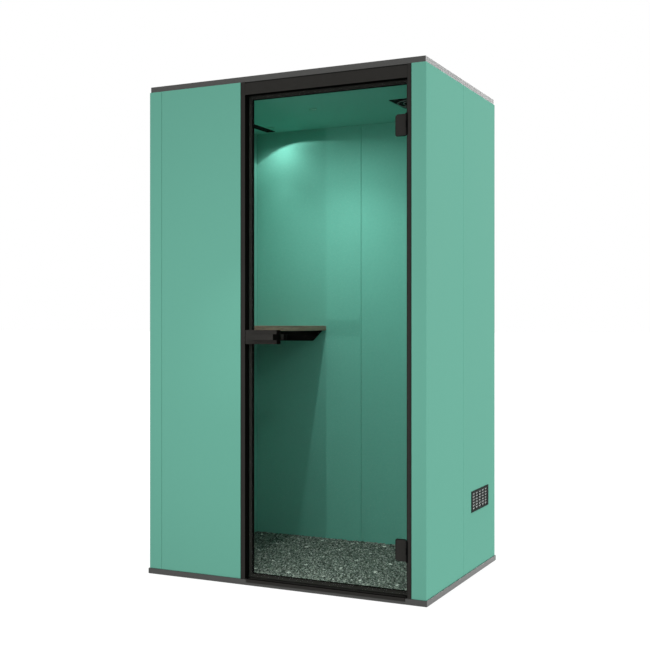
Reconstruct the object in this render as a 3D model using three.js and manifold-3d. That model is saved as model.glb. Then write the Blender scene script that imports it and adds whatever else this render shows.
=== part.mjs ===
// Acoustic office pod for one person: a sound-lined cabin with a frameless glass door, a standing desk,
// ceiling lights and fan ventilation. Millimetres, +Z up, door towards -Y. The origin lies on the floor
// at the centre of the cabin's footprint.

import * as THREE from 'three';
import { mergeVertices } from 'three/addons/utils/BufferGeometryUtils.js';
import Module from 'manifold-3d';

const wasm = await Module();
wasm.setup();

// Cabin
const WIDTH = 1390;
const DEPTH = 980;
const HEIGHT = 2300;
const GAP = 0.3; // clearance kept between pieces that touch
const OVERCUT = 1; // how far a cutting block runs past the face it opens
const SIDE_WALL = 67;
const BACK_WALL = 67;
const FRONT_WALL = 57;
const BOARD = 18; // outer wall board
const LINER = 12; // felt lining inside
const CORNER_RADIUS = 3;
const SEAM_CHAMFER = 1.5;
const LINER_SEAM = -4.5; // where the back lining's two panels meet
const LINER_CHAMFER = 2.6;

// Base and roof
const STRIP_HEIGHT = 1;
const STRIP_WIDTH = 60;
const STRIP_SPACING = 610;
const STRIP_LENGTH = 900;
const PLINTH_TOP = 26.5;
const PLINTH_OUTSET = 4.5;
const DECK_TOP = 36;
const CARPET_TOP = 42;
const ROOF_THICKNESS = 25.5;
const ROOF_INSET = 4.5;
const CEILING = 2220;
const CEILING_BOARD = 16;

// Door frame
const FRAME_LEFT = -199;
const LOCK_JAMB_FACE = 23.5;
const HINGE_JAMB_FACE = 17.5;
const SHADOW_LINE = 1;
const SHADOW_DEPTH = 8;
const REBATE = 36;
const STOP_WIDTH = 17;
const HEADER_BOTTOM = 2215.5;
const HEADER_TOP = 2268;
const SILL_FLAT = 29;
const SILL_RIDGE = 46;
const NOSING_BOTTOM = 14.5;
const NOSING_THICKNESS = 3;
const NOSING_INSET = 9;
const SEAL_WIDTH = 8;
const SEAL_THICKNESS = 2.4;
const SEAL_INSET = 2.5; // from the reveals and the header
const SEAL_LIFT = 1.5; // above the sill
const STRIKE_HEIGHT = 60;
const STRIKE_DEPTH = 18;
const STRIKE_THICKNESS = 1.5;
const STRIKE_RIM = 3;
const STRIKE_CLEARANCE = 1; // above and below the latch

// Door leaf and hinges
const GLASS_THICKNESS = 10;
const GLASS_CLEARANCE = 4;
const GLASS_BOTTOM = 32.5;
const GLASS_TOP = 2212;
const HINGE_AXIS_X = 605;
const HINGE_AXIS_Y = -481;
const HINGE_HEIGHTS = { lower: 222, upper: 2022 };
const HINGE_LENGTH = 90;
const HINGE_PLATE_WIDTH = 49;
const HINGE_PLATE_THICKNESS = 8;
const HINGE_CORNER = 8;
const HINGE_PLATE_SET_BACK = 2; // from the pin's axis, and from the stop on the room side
const KNUCKLE_RADIUS = 5;
const KNUCKLE_WEB = 9; // width of the web between the plate and its knuckles
const KNUCKLE_CLEARANCE = 1;
const LEAF_CLEARANCE = 1.2; // from the pin's axis to the leaf on the jamb
const LEAF_SET_BACK = 4; // from the leaf to the stop
const LEAF_FRONT = 7; // from the pin's axis to the leaf's front edge
const LEAF_WEB_SET_BACK = 2;
const PIN_RADIUS = 2.2;
const PIN_HEAD_RADIUS = 4.2;
const PIN_HEAD_HEIGHT = 2;

// Lock
const LOCK_HEIGHT = 1121.5;
const LOCK_TALL = 63;
const LOCK_LEFT = -172;
const LOCK_RIGHT = -13.5;
const LOCK_INNER_LEFT = -152;
const LOCK_INNER_RIGHT = -22;
const LOCK_WALL = 3;
const LOCK_INNER_DEPTH = 22;
const SPINDLE_X = -122;
const SPINDLE_SIZE = 8;
const LEVER_TIP = -10;
const LEVER_TALL = 26;
const LEVER_THICKNESS = 12;
const LEVER_STAND_OFF = 28;
const LEVER_RETURN = 12;
const LEVER_RETURN_GAP = 5; // from the lock case to the end of the return
const SOCKET_DEPTH = 22;
const SPINDLE_END_GAP = 1;
const HUB_RADIUS = 11;
const LATCH_TALL = 16;
const LATCH_DEEP = 10;
const LATCH_PROUD = 2;
const LATCH_LENGTH = 34;
const LATCH_SET_BACK = 3; // from the glass

// Desk
const DESK_TOP = 1172;
const DESK_THICKNESS = 25.5;
const DESK_EDGE = -207;
const BRACKET_TALL = 55;
const BRACKET_PLATE = 5;
const BRACKET_FLANGE = 40;
const BRACKET_REACH = -231;

// Ventilation
const GRILLE_Y = 243;
const GRILLE_Z = 346.5;
const GRILLE_WIDTH = 262;
const GRILLE_TALL = 99;
const GRILLE_PLATE = 3;
const GRILLE_COLUMNS = 5;
const GRILLE_ROWS = 6;
const SLOT_WIDTH = 40;
const SLOT_TALL = 9;
const SLOT_PITCH_Y = 47;
const SLOT_PITCH_Z = 13.5;
const DUCT_WIDTH = 244;
const DUCT_TALL = 84;
const DUCT_WALL = 2;
const AIR_SLOT_X = -520;
const AIR_SLOT_WIDTH = 54;
const AIR_SLOT_LENGTH = 770;
const AIR_SLOT_WALL = 5;
const AIR_SLOT_DROP = 2; // below the ceiling
const AIR_SLOT_ROOF = 4; // thickness over the channels
const FAN_X = 465;
const FAN_Y = 12;
const FAN_SIZE = 120;
const FAN_HEIGHT = 25;
const FAN_BORE = 55;
const FAN_STRUT = 4;
const FAN_STRUT_WIDTH = 6;
const FAN_MOTOR = 20;
const FAN_HUB = 19;
const FAN_BLADES = 7;
const BLADE_CHORD = 24;
const BLADE_THICKNESS = 2;
const BLADE_ROOT = 4; // how deep a blade sits in the hub
const BLADE_PITCH = Math.PI / 6;
const ROTOR_CLEARANCE = 2; // to the bore and to the top of the housing
const CEILING_GRILLE_SIZE = 205;
const CEILING_GRILLE_PLATE = 3;
const CEILING_GRILLE_RIM = 14;
const CEILING_SLOTS = 9;
const CEILING_SLOT_PITCH = 20;
const CEILING_SLOT = 12;
const EXHAUST_SLOTS = 7;
const EXHAUST_PITCH = 16;
const EXHAUST_SLOT = 10;

// Lights and power
const DOWNLIGHTS = { rear: [-463, 285], front: [-47, -60] };
const LIGHT_FLANGE = 22;
const LIGHT_BODY = 19;
const LIGHT_LENS = 15;
const LIGHT_LENS_LOW = 7; // above the ceiling
const LIGHT_LENS_HIGH = 10;
const LIGHT_RIM = 1.2;
const LIGHT_FLARE = 3; // how much wider than the lens the cone opens
const LIGHT_CAN = 42;
const INLET_X = -60;
const INLET_Y = 370;
const INLET_WIDTH = 80;
const INLET_DEPTH = 50;
const INLET_DROP = 1; // below the roof's top
const INLET_RIM_X = 15;
const INLET_RIM_Y = 11;
const INLET_RECESS = 20;
const INLET_PIN_PITCH = 12;
const INLET_PIN_WIDTH = 4;
const INLET_PIN_DEPTH = 14;
const INLET_PIN_TALL = 9;

const ROUND = 24; // sides of a round piece
const WELD = 1e-3; // corners this close together are one

// Planes and faces worked out from the sizes above
const LEFT = -WIDTH / 2;
const FRONT = -DEPTH / 2;
const BACK = DEPTH / 2;
const ROOM_LEFT = LEFT + SIDE_WALL;
const ROOM_RIGHT = -ROOM_LEFT;
const ROOM_FRONT = FRONT + FRONT_WALL;
const ROOM_BACK = BACK - BACK_WALL;
const WALL_BOTTOM = PLINTH_TOP + GAP;
const ROOF_UNDERSIDE = HEIGHT - ROOF_THICKNESS;
const WALL_TOP = ROOF_UNDERSIDE - GAP;
const REVEAL_LEFT = FRAME_LEFT + LOCK_JAMB_FACE;
const REVEAL_RIGHT = ROOM_RIGHT - HINGE_JAMB_FACE;
const STOP_FACE = FRONT + REBATE;
const GLASS_BACK = STOP_FACE - 2 * GAP - SEAL_THICKNESS;
const GLASS_FACE = GLASS_BACK - GLASS_THICKNESS;
const GLASS_LEFT = REVEAL_LEFT + GLASS_CLEARANCE;
const GLASS_RIGHT = HINGE_AXIS_X - 1;

function finish(color, roughness, metalness = 0) {
  return new THREE.MeshStandardMaterial({ color, roughness, metalness });
}

const GREEN_BOARD = finish(0x6cb09b, 0.7);
const GREEN_FELT = finish(0x66a892, 0.95);
const WOOL = finish(0xb9b29c, 1);
const CHARCOAL_BOARD = finish(0x525250, 0.6);
const BLACK_ALUMINIUM = finish(0x2f2e2c, 0.45, 0.6);
const GREEN_ALUMINIUM = finish(0x6cb09b, 0.6);
const BLACK_STEEL = finish(0x2c2b29, 0.5, 0.7);
const BRIGHT_STEEL = finish(0xa9a9a6, 0.35, 1);
const BLACK_PLASTIC = finish(0x1d1d1c, 0.6);
const RUBBER = finish(0x191919, 0.9);
const GLASS = finish(0xdfeee8, 0.03);
const WALNUT = finish(0x5e5047, 0.6);
const CARPET = finish(0x4b5851, 1);
const PLYWOOD = finish(0xb59a74, 0.8);
const OPAL = finish(0xf4f1e6, 0.4);

function mirrored(outline, signX, signY) {
  return outline.map(([x, y]) => [signX * x, signY * y]);
}

// Points on a rounded corner about a centre, from one angle to another in quarter turns.
function arc(x, y, radius, from, to, steps = 4) {
  const points = [];
  for (let i = 0; i <= steps; i += 1) {
    const angle = (from + (to - from) * (i / steps)) * (Math.PI / 2);
    points.push([x + radius * Math.cos(angle), y + radius * Math.sin(angle)]);
  }
  return points;
}

function rectangle([x0, x1], [y0, y1]) {
  return [[x0, y0], [x1, y0], [x1, y1], [x0, y1]];
}

function roundedRectangle([x0, x1], [y0, y1], radius) {
  return [
    ...arc(x0 + radius, y0 + radius, radius, 2, 3),
    ...arc(x1 - radius, y0 + radius, radius, 3, 4),
    ...arc(x1 - radius, y1 - radius, radius, 0, 1),
    ...arc(x0 + radius, y1 - radius, radius, 1, 2),
  ];
}

// An outline extruded along +Z from zero, with any holes.
function upright(outline, height, holes = []) {
  const shape = new THREE.Shape(outline.map(([x, y]) => new THREE.Vector2(x, y)));
  for (const hole of holes) {
    shape.holes.push(new THREE.Path(hole.map(([x, y]) => new THREE.Vector2(x, y))));
  }
  return new THREE.ExtrudeGeometry(shape, { depth: height, bevelEnabled: false });
}

// An outline in Y and Z, extruded along +X from zero.
function alongX(outline, length, holes = []) {
  const turn = new THREE.Matrix4().makeBasis(
    new THREE.Vector3(0, 1, 0), new THREE.Vector3(0, 0, 1), new THREE.Vector3(1, 0, 0));
  return upright(outline, length, holes).applyMatrix4(turn);
}

// An outline in X and Z, extruded along +Y from zero.
function alongY(outline, depth, holes = []) {
  const turn = new THREE.Matrix4().makeBasis(
    new THREE.Vector3(1, 0, 0), new THREE.Vector3(0, 0, 1), new THREE.Vector3(0, -1, 0));
  return upright(outline, depth, holes).applyMatrix4(turn).translate(0, depth, 0);
}

function block([x0, x1], [y0, y1], [z0, z1]) {
  const geometry = new THREE.BoxGeometry(x1 - x0, y1 - y0, z1 - z0);
  return geometry.translate((x0 + x1) / 2, (y0 + y1) / 2, (z0 + z1) / 2);
}

// A round bar between two heights on the Z axis, or moved to x, y.
function roundBar(radius, [z0, z1], x = 0, y = 0) {
  const geometry = new THREE.CylinderGeometry(radius, radius, z1 - z0, ROUND);
  return geometry.rotateX(Math.PI / 2).translate(x, y, (z0 + z1) / 2);
}

// A round bar along Y, between two depths, about an axis at x, z.
function crossBar(radius, [y0, y1], x, z) {
  return new THREE.CylinderGeometry(radius, radius, y1 - y0, ROUND).translate(x, (y0 + y1) / 2, z);
}

function toSolid(geometry) {
  const bare = geometry.clone();
  bare.deleteAttribute('normal');
  bare.deleteAttribute('uv');
  const merged = mergeVertices(bare, WELD);
  return new wasm.Manifold(new wasm.Mesh({
    numProp: 3,
    vertProperties: Float32Array.from(merged.attributes.position.array),
    triVerts: Uint32Array.from(merged.index.array),
  }));
}

function toGeometry(solid) {
  const mesh = solid.getMesh();
  const geometry = new THREE.BufferGeometry();
  geometry.setAttribute('position', new THREE.BufferAttribute(mesh.vertProperties, 3));
  geometry.setIndex(new THREE.BufferAttribute(mesh.triVerts, 1));
  geometry.computeVertexNormals();
  return geometry;
}

function join(first, ...others) {
  return toGeometry(others.reduce((solid, other) => solid.add(toSolid(other)), toSolid(first)));
}

function cut(base, ...tools) {
  return toGeometry(tools.reduce((solid, tool) => solid.subtract(toSolid(tool)), toSolid(base)));
}

function piece(group, name, material, geometry, position = [0, 0, 0]) {
  const mesh = new THREE.Mesh(geometry, material);
  mesh.name = name;
  mesh.position.set(...position);
  group.add(mesh);
}

// A plain board given by its limits on each axis.
function board(group, name, material, [x0, x1], [y0, y1], [z0, z1]) {
  const geometry = new THREE.BoxGeometry(x1 - x0, y1 - y0, z1 - z0);
  piece(group, name, material, geometry, [(x0 + x1) / 2, (y0 + y1) / 2, (z0 + z1) / 2]);
}

// Limits of a span of a given length about a middle
function about(middle, length) {
  return [middle - length / 2, middle + length / 2];
}

// Middles of a row of evenly spaced items about zero
function row(count, pitch) {
  return Array.from({ length: count }, (_, i) => (i - (count - 1) / 2) * pitch);
}

function groupAt(parent, x = 0, y = 0, z = 0) {
  const group = new THREE.Group();
  group.position.set(x, y, z);
  parent.add(group);
  return group;
}

// Plinth on three rubber strips, floor deck and carpet
function buildBase(pod) {
  const base = groupAt(pod);
  for (const [side, place] of Object.entries({ left: -1, centre: 0, right: 1 })) {
    board(base, `base_strip_${side}`, RUBBER, about(place * STRIP_SPACING, STRIP_WIDTH),
      about(0, STRIP_LENGTH), [0, STRIP_HEIGHT]);
  }
  const reachX = WIDTH / 2 + PLINTH_OUTSET;
  const reachY = DEPTH / 2 + PLINTH_OUTSET;
  board(base, 'plinth', CHARCOAL_BOARD, [-reachX, reachX], [-reachY, reachY],
    [STRIP_HEIGHT + GAP, PLINTH_TOP]);
  const floorX = [ROOM_LEFT + GAP, ROOM_RIGHT - GAP];
  const floorY = [ROOM_FRONT + GAP, ROOM_BACK - GAP];
  board(base, 'floor_deck', PLYWOOD, floorX, floorY, [WALL_BOTTOM, DECK_TOP]);
  board(base, 'carpet', CARPET, floorX, floorY, [DECK_TOP + GAP, CARPET_TOP]);
}

// Half a side wall's outer board, seen from above: its face and the return that closes the wall's end
function sideBoardOutline() {
  const seam = -GAP;
  const inner = ROOM_LEFT - GAP;
  return [
    ...arc(LEFT + CORNER_RADIUS, FRONT + CORNER_RADIUS, CORNER_RADIUS, 2, 3),
    [inner - SEAM_CHAMFER, FRONT],
    [inner, FRONT + SEAM_CHAMFER],
    [inner, FRONT + BOARD],
    [LEFT + BOARD, FRONT + BOARD],
    [LEFT + BOARD, seam],
    [LEFT + SEAM_CHAMFER, seam],
    [LEFT, seam - SEAM_CHAMFER],
  ];
}

// The hole for the air duct through the right wall
function ductHole() {
  return block([ROOM_RIGHT - OVERCUT, -LEFT + OVERCUT],
    about(GRILLE_Y, DUCT_WIDTH + 2 * GAP), about(GRILLE_Z, DUCT_TALL + 2 * GAP));
}

function buildSideWalls(pod) {
  const walls = groupAt(pod);
  const tall = WALL_TOP - WALL_BOTTOM;
  const height = [WALL_BOTTOM, WALL_TOP];
  const endY = BACK - BOARD - GAP;
  for (const [side, signX] of Object.entries({ left: 1, right: -1 })) {
    for (const [end, signY] of Object.entries({ front: 1, rear: -1 })) {
      const outline = mirrored(sideBoardOutline(), signX, signY);
      let geometry = upright(outline, tall).translate(0, 0, WALL_BOTTOM);
      if (side === 'right' && end === 'rear') {
        geometry = cut(geometry, ductHole());
      }
      piece(walls, `${side}_wall_board_${end}`, GREEN_BOARD, geometry);
    }
    const coreX = [signX * (LEFT + BOARD + GAP), signX * (ROOM_LEFT - LINER - GAP)].sort((a, b) => a - b);
    const linerX = [signX * (ROOM_LEFT - LINER), signX * ROOM_LEFT].sort((a, b) => a - b);
    const core = block(coreX, [-endY, endY], height);
    const liner = block(linerX, [-endY, endY], height);
    const open = side === 'right';
    piece(walls, `${side}_wall_core`, WOOL, open ? cut(core, ductHole()) : core);
    piece(walls, `${side}_wall_liner`, GREEN_FELT, open ? cut(liner, ductHole()) : liner);
  }
}

function buildBackWall(pod) {
  const wall = groupAt(pod);
  const tall = WALL_TOP - WALL_BOTTOM;
  const edge = ROOM_LEFT + GAP;
  const boardOutline = [
    [edge, BACK - BOARD],
    [-GAP, BACK - BOARD],
    [-GAP, BACK - SEAM_CHAMFER],
    [-GAP - SEAM_CHAMFER, BACK],
    [edge + SEAM_CHAMFER, BACK],
    [edge, BACK - SEAM_CHAMFER],
  ];
  const linerOutline = (seam) => [
    [edge, ROOM_BACK],
    [seam - LINER_CHAMFER, ROOM_BACK],
    [seam, ROOM_BACK + LINER_CHAMFER],
    [seam, ROOM_BACK + LINER],
    [edge, ROOM_BACK + LINER],
  ];
  for (const [side, signX] of Object.entries({ left: 1, right: -1 })) {
    const place = [0, 0, WALL_BOTTOM];
    const boardSolid = upright(mirrored(boardOutline, signX, 1), tall);
    const linerSolid = upright(mirrored(linerOutline(signX * LINER_SEAM - GAP), signX, 1), tall);
    piece(wall, `back_wall_board_${side}`, GREEN_BOARD, boardSolid, place);
    piece(wall, `back_wall_liner_${side}`, GREEN_FELT, linerSolid, place);
  }
  board(wall, 'back_wall_core', WOOL, [edge, -edge],
    [ROOM_BACK + LINER + GAP, BACK - BOARD - GAP], [WALL_BOTTOM, WALL_TOP]);
}

function buildFrontWall(pod) {
  const wall = groupAt(pod);
  const edge = ROOM_LEFT + GAP;
  const frame = FRAME_LEFT - GAP;
  const outline = [
    [edge, FRONT + SEAM_CHAMFER],
    [edge + SEAM_CHAMFER, FRONT],
    [frame, FRONT],
    [frame, FRONT + BOARD],
    [edge, FRONT + BOARD],
  ];
  const height = [WALL_BOTTOM, WALL_TOP];
  piece(wall, 'front_wall_board', GREEN_BOARD, upright(outline, WALL_TOP - WALL_BOTTOM), [0, 0, WALL_BOTTOM]);
  board(wall, 'front_wall_core', WOOL, [edge, frame],
    [FRONT + BOARD + GAP, ROOM_FRONT - LINER - GAP], height);
  board(wall, 'front_wall_liner', GREEN_FELT, [edge, frame], [ROOM_FRONT - LINER, ROOM_FRONT], height);
}

// A jamb with a stop that the leaf closes against, between x = 0 at the wall and the stop's edge. The stop
// is cut away at the sill and at the header.
function jambGeometry(face) {
  const stopEnds = [SILL_RIDGE + GAP, HEADER_BOTTOM - STOP_WIDTH - GAP];
  const outline = [
    [0, FRONT + SHADOW_DEPTH],
    [SHADOW_LINE, FRONT + SHADOW_DEPTH],
    [SHADOW_LINE, FRONT],
    [face, FRONT],
    [face, STOP_FACE],
    [face + STOP_WIDTH, STOP_FACE],
    [face + STOP_WIDTH, ROOM_FRONT],
    [0, ROOM_FRONT],
  ];
  const stopX = [face, face + STOP_WIDTH + OVERCUT];
  const stopY = [STOP_FACE - OVERCUT, ROOM_FRONT + OVERCUT];
  return cut(upright(outline, WALL_TOP - WALL_BOTTOM).translate(0, 0, WALL_BOTTOM),
    block(stopX, stopY, [WALL_BOTTOM - OVERCUT, stopEnds[0]]),
    block(stopX, stopY, [stopEnds[1], WALL_TOP + OVERCUT]));
}

// Jambs, header, sill, seal and strike plate
function buildDoorFrame(pod) {
  const frame = groupAt(pod);
  const strikeY = [GLASS_FACE - STRIKE_DEPTH - GAP, GLASS_FACE - GAP];
  const strikeZ = about(LOCK_HEIGHT, STRIKE_HEIGHT);
  const latchZ = about(LOCK_HEIGHT, LATCH_TALL + 2 * STRIKE_CLEARANCE);
  const latchY = [strikeY[0] + STRIKE_RIM, strikeY[1] - STRIKE_RIM];
  const strikeX = [REVEAL_LEFT - STRIKE_THICKNESS, REVEAL_LEFT];

  const lockJamb = jambGeometry(LOCK_JAMB_FACE).translate(FRAME_LEFT, 0, 0);
  const plateBed = block([strikeX[0] - GAP, REVEAL_LEFT + OVERCUT],
    [strikeY[0] - GAP, strikeY[1] + GAP], [strikeZ[0] - GAP, strikeZ[1] + GAP]);
  const latchBed = block([strikeX[0] - STRIKE_DEPTH / 2, REVEAL_LEFT + OVERCUT], latchY, latchZ);
  piece(frame, 'left_jamb', BLACK_ALUMINIUM, cut(lockJamb, plateBed, latchBed));

  const hingeJamb = toGeometry(toSolid(jambGeometry(HINGE_JAMB_FACE)).mirror([1, 0, 0]));
  piece(frame, 'right_jamb', BLACK_ALUMINIUM, hingeJamb, [ROOM_RIGHT, 0, 0]);

  const between = [REVEAL_LEFT + GAP, REVEAL_RIGHT - GAP];
  const headerOutline = [
    [FRONT, HEADER_BOTTOM],
    [STOP_FACE, HEADER_BOTTOM],
    [STOP_FACE, HEADER_BOTTOM - STOP_WIDTH],
    [ROOM_FRONT, HEADER_BOTTOM - STOP_WIDTH],
    [ROOM_FRONT, WALL_TOP],
    [FRONT + SHADOW_DEPTH, WALL_TOP],
    [FRONT + SHADOW_DEPTH, HEADER_TOP],
    [FRONT, HEADER_TOP],
  ];
  piece(frame, 'header', BLACK_ALUMINIUM, alongX(headerOutline, between[1] - between[0]), [between[0], 0, 0]);

  const plinthFace = FRONT - PLINTH_OUTSET - GAP;
  const sillFront = plinthFace - NOSING_THICKNESS;
  const sillOutline = [
    [FRONT, WALL_BOTTOM],
    [ROOM_FRONT, WALL_BOTTOM],
    [ROOM_FRONT, SILL_RIDGE],
    [STOP_FACE, SILL_RIDGE],
    [STOP_FACE, SILL_FLAT],
    [FRONT, SILL_FLAT],
  ];
  const nosingX = [REVEAL_LEFT + NOSING_INSET, REVEAL_RIGHT - NOSING_INSET];
  const tread = alongX(sillOutline, between[1] - between[0]).translate(between[0], 0, 0);
  piece(frame, 'sill', BLACK_ALUMINIUM, join(tread,
    block(nosingX, [sillFront, FRONT + OVERCUT], [WALL_BOTTOM, SILL_FLAT]),
    block(nosingX, [sillFront, plinthFace], [NOSING_BOTTOM, SILL_FLAT])));

  const sealX = [REVEAL_LEFT + SEAL_INSET, REVEAL_RIGHT - SEAL_INSET];
  const sealZ = [SILL_FLAT + SEAL_LIFT, HEADER_BOTTOM - SEAL_INSET];
  const inside = rectangle([sealX[0] + SEAL_WIDTH, sealX[1] - SEAL_WIDTH],
    [sealZ[0] + SEAL_WIDTH, sealZ[1] - SEAL_WIDTH]);
  piece(frame, 'door_seal', RUBBER, alongY(rectangle(sealX, sealZ), SEAL_THICKNESS, [inside]),
    [0, STOP_FACE - GAP - SEAL_THICKNESS, 0]);

  piece(frame, 'strike_plate', BRIGHT_STEEL,
    alongX(rectangle(strikeY, strikeZ), STRIKE_THICKNESS, [rectangle(latchY, latchZ)]), [strikeX[0], 0, 0]);
}

// One hinge about its pin, with the pin's middle at the group's origin
function buildHinge(door, place, height) {
  const hinge = groupAt(door, HINGE_AXIS_X, HINGE_AXIS_Y, height);
  const half = HINGE_LENGTH / 2;
  const middle = half / 3;
  const span = [-half, half];
  const fixedSpan = [-middle + GAP, middle - GAP];
  const bore = roundBar(PIN_RADIUS + GAP, [-half - OVERCUT, half + OVERCUT]);
  const face = GLASS_FACE - GAP - HINGE_AXIS_Y;
  const plateFront = face - HINGE_PLATE_THICKNESS;
  const plateRight = -HINGE_PLATE_SET_BACK;
  const plateOutline = roundedRectangle([plateRight - HINGE_PLATE_WIDTH, plateRight], span, HINGE_CORNER);
  const plate = alongY(plateOutline, HINGE_PLATE_THICKNESS).translate(0, plateFront, 0);
  const turning = join(plate,
    roundBar(KNUCKLE_RADIUS, span),
    block([-KNUCKLE_WEB, 0], [0, plateFront + HINGE_PLATE_THICKNESS / 2], span));
  const clearanceReach = KNUCKLE_RADIUS + KNUCKLE_CLEARANCE;
  const clearance = block([-KNUCKLE_WEB - KNUCKLE_CLEARANCE, clearanceReach], [-clearanceReach, plateFront],
    [-middle, middle]);
  piece(hinge, `${place}_hinge_outer_plate`, BLACK_STEEL, cut(turning, clearance, bore));

  const leafX = [LEAF_CLEARANCE, REVEAL_RIGHT - GAP - HINGE_AXIS_X];
  const leaf = block(leafX, [LEAF_FRONT, STOP_FACE - HINGE_AXIS_Y - LEAF_SET_BACK], span);
  const fixed = join(leaf,
    block([0, leafX[1]], [0, face - LEAF_WEB_SET_BACK], fixedSpan),
    roundBar(KNUCKLE_RADIUS, fixedSpan));
  piece(hinge, `${place}_hinge_jamb_leaf`, BLACK_STEEL, cut(fixed, bore));

  const innerRight = REVEAL_RIGHT - STOP_WIDTH - HINGE_PLATE_SET_BACK - HINGE_AXIS_X;
  const innerOutline = roundedRectangle([innerRight - HINGE_PLATE_WIDTH, innerRight], span, HINGE_CORNER);
  const innerFace = GLASS_BACK + GAP - HINGE_AXIS_Y;
  piece(hinge, `${place}_hinge_inner_plate`, BLACK_STEEL, alongY(innerOutline, HINGE_PLATE_THICKNESS),
    [0, innerFace, 0]);

  const end = half + GAP;
  piece(hinge, `${place}_hinge_pin`, BRIGHT_STEEL, join(
    roundBar(PIN_RADIUS, [-end - PIN_HEAD_HEIGHT / 2, end + PIN_HEAD_HEIGHT / 2]),
    roundBar(PIN_HEAD_RADIUS, [-end - PIN_HEAD_HEIGHT, -end]),
    roundBar(PIN_HEAD_RADIUS, [end, end + PIN_HEAD_HEIGHT])));
}

// A lever on its hub: a bar towards the hinge side whose tip turns back to the door. The hub stands on
// the plane y = 0 and rises along +Y by the stand-off.
function leverGeometry() {
  const half = LEVER_TALL / 2;
  const reach = LEVER_TIP - SPINDLE_X;
  const bar = [LEVER_STAND_OFF, LEVER_STAND_OFF + LEVER_THICKNESS];
  const socket = about(0, SPINDLE_SIZE + 2 * GAP);
  const outline = [
    ...arc(0, 0, half, 1, 3, 8),
    [reach, -half],
    [reach, half],
  ];
  const solid = join(alongY(outline, LEVER_THICKNESS).translate(0, bar[0], 0),
    crossBar(HUB_RADIUS, [0, bar[0] + OVERCUT], 0, 0),
    block([reach - LEVER_RETURN, reach], [LEVER_RETURN_GAP, bar[0] + OVERCUT], [-half, half]));
  return cut(solid, block(socket, [-OVERCUT, SOCKET_DEPTH], socket));
}

function buildLock(door) {
  const lock = groupAt(door, 0, 0, LOCK_HEIGHT);
  const half = LOCK_TALL / 2;
  const outer = [FRONT, GLASS_FACE - GAP];
  const inner = [GLASS_BACK + GAP, GLASS_BACK + GAP + LOCK_INNER_DEPTH];
  const wallZ = [-half + LOCK_WALL, half - LOCK_WALL];
  const throughHole = crossBar(SPINDLE_SIZE, [FRONT - OVERCUT, ROOM_FRONT + OVERCUT], SPINDLE_X, 0);
  const latchY = [GLASS_FACE - LATCH_SET_BACK - LATCH_DEEP, GLASS_FACE - LATCH_SET_BACK];
  const latchHole = block([LOCK_LEFT - OVERCUT, LOCK_LEFT + LOCK_WALL + OVERCUT],
    [latchY[0] - GAP, latchY[1] + GAP], about(0, LATCH_TALL + 2 * GAP));

  piece(lock, 'lock_outer_case', BLACK_ALUMINIUM, cut(block([LOCK_LEFT, LOCK_RIGHT], outer, [-half, half]),
    block([LOCK_LEFT + LOCK_WALL, LOCK_RIGHT - LOCK_WALL], [outer[0] + LOCK_WALL, outer[1] + OVERCUT], wallZ),
    throughHole, latchHole));
  piece(lock, 'lock_inner_case', BLACK_ALUMINIUM,
    cut(block([LOCK_INNER_LEFT, LOCK_INNER_RIGHT], inner, [-half, half]),
      block([LOCK_INNER_LEFT + LOCK_WALL, LOCK_INNER_RIGHT - LOCK_WALL],
        [inner[0] - OVERCUT, inner[1] - LOCK_WALL], wallZ),
      throughHole));
  board(lock, 'latch_bolt', BRIGHT_STEEL, [LOCK_LEFT - LATCH_PROUD, LOCK_LEFT - LATCH_PROUD + LATCH_LENGTH],
    latchY, about(0, LATCH_TALL));

  const outerHub = outer[0] - GAP;
  const innerHub = inner[1] + GAP;
  const flipped = toGeometry(toSolid(leverGeometry()).mirror([0, 1, 0]));
  piece(lock, 'outer_lever', BLACK_ALUMINIUM, flipped, [SPINDLE_X, outerHub, 0]);
  piece(lock, 'inner_lever', BLACK_ALUMINIUM, leverGeometry(), [SPINDLE_X, innerHub, 0]);
  const grip = SOCKET_DEPTH - SPINDLE_END_GAP;
  board(lock, 'lever_spindle', BRIGHT_STEEL, about(SPINDLE_X, SPINDLE_SIZE),
    [outerHub - grip, innerHub + grip], about(0, SPINDLE_SIZE));
}

function buildDoor(pod) {
  const door = groupAt(pod);
  const leaf = block([GLASS_LEFT, GLASS_RIGHT], [GLASS_FACE, GLASS_BACK], [GLASS_BOTTOM, GLASS_TOP]);
  const spindleHole = crossBar(SPINDLE_SIZE, [GLASS_FACE - OVERCUT, GLASS_BACK + OVERCUT],
    SPINDLE_X, LOCK_HEIGHT);
  piece(door, 'door_glass', GLASS, cut(leaf, spindleHole));
  for (const [place, height] of Object.entries(HINGE_HEIGHTS)) {
    buildHinge(door, place, height);
  }
  buildLock(door);
}

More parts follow.
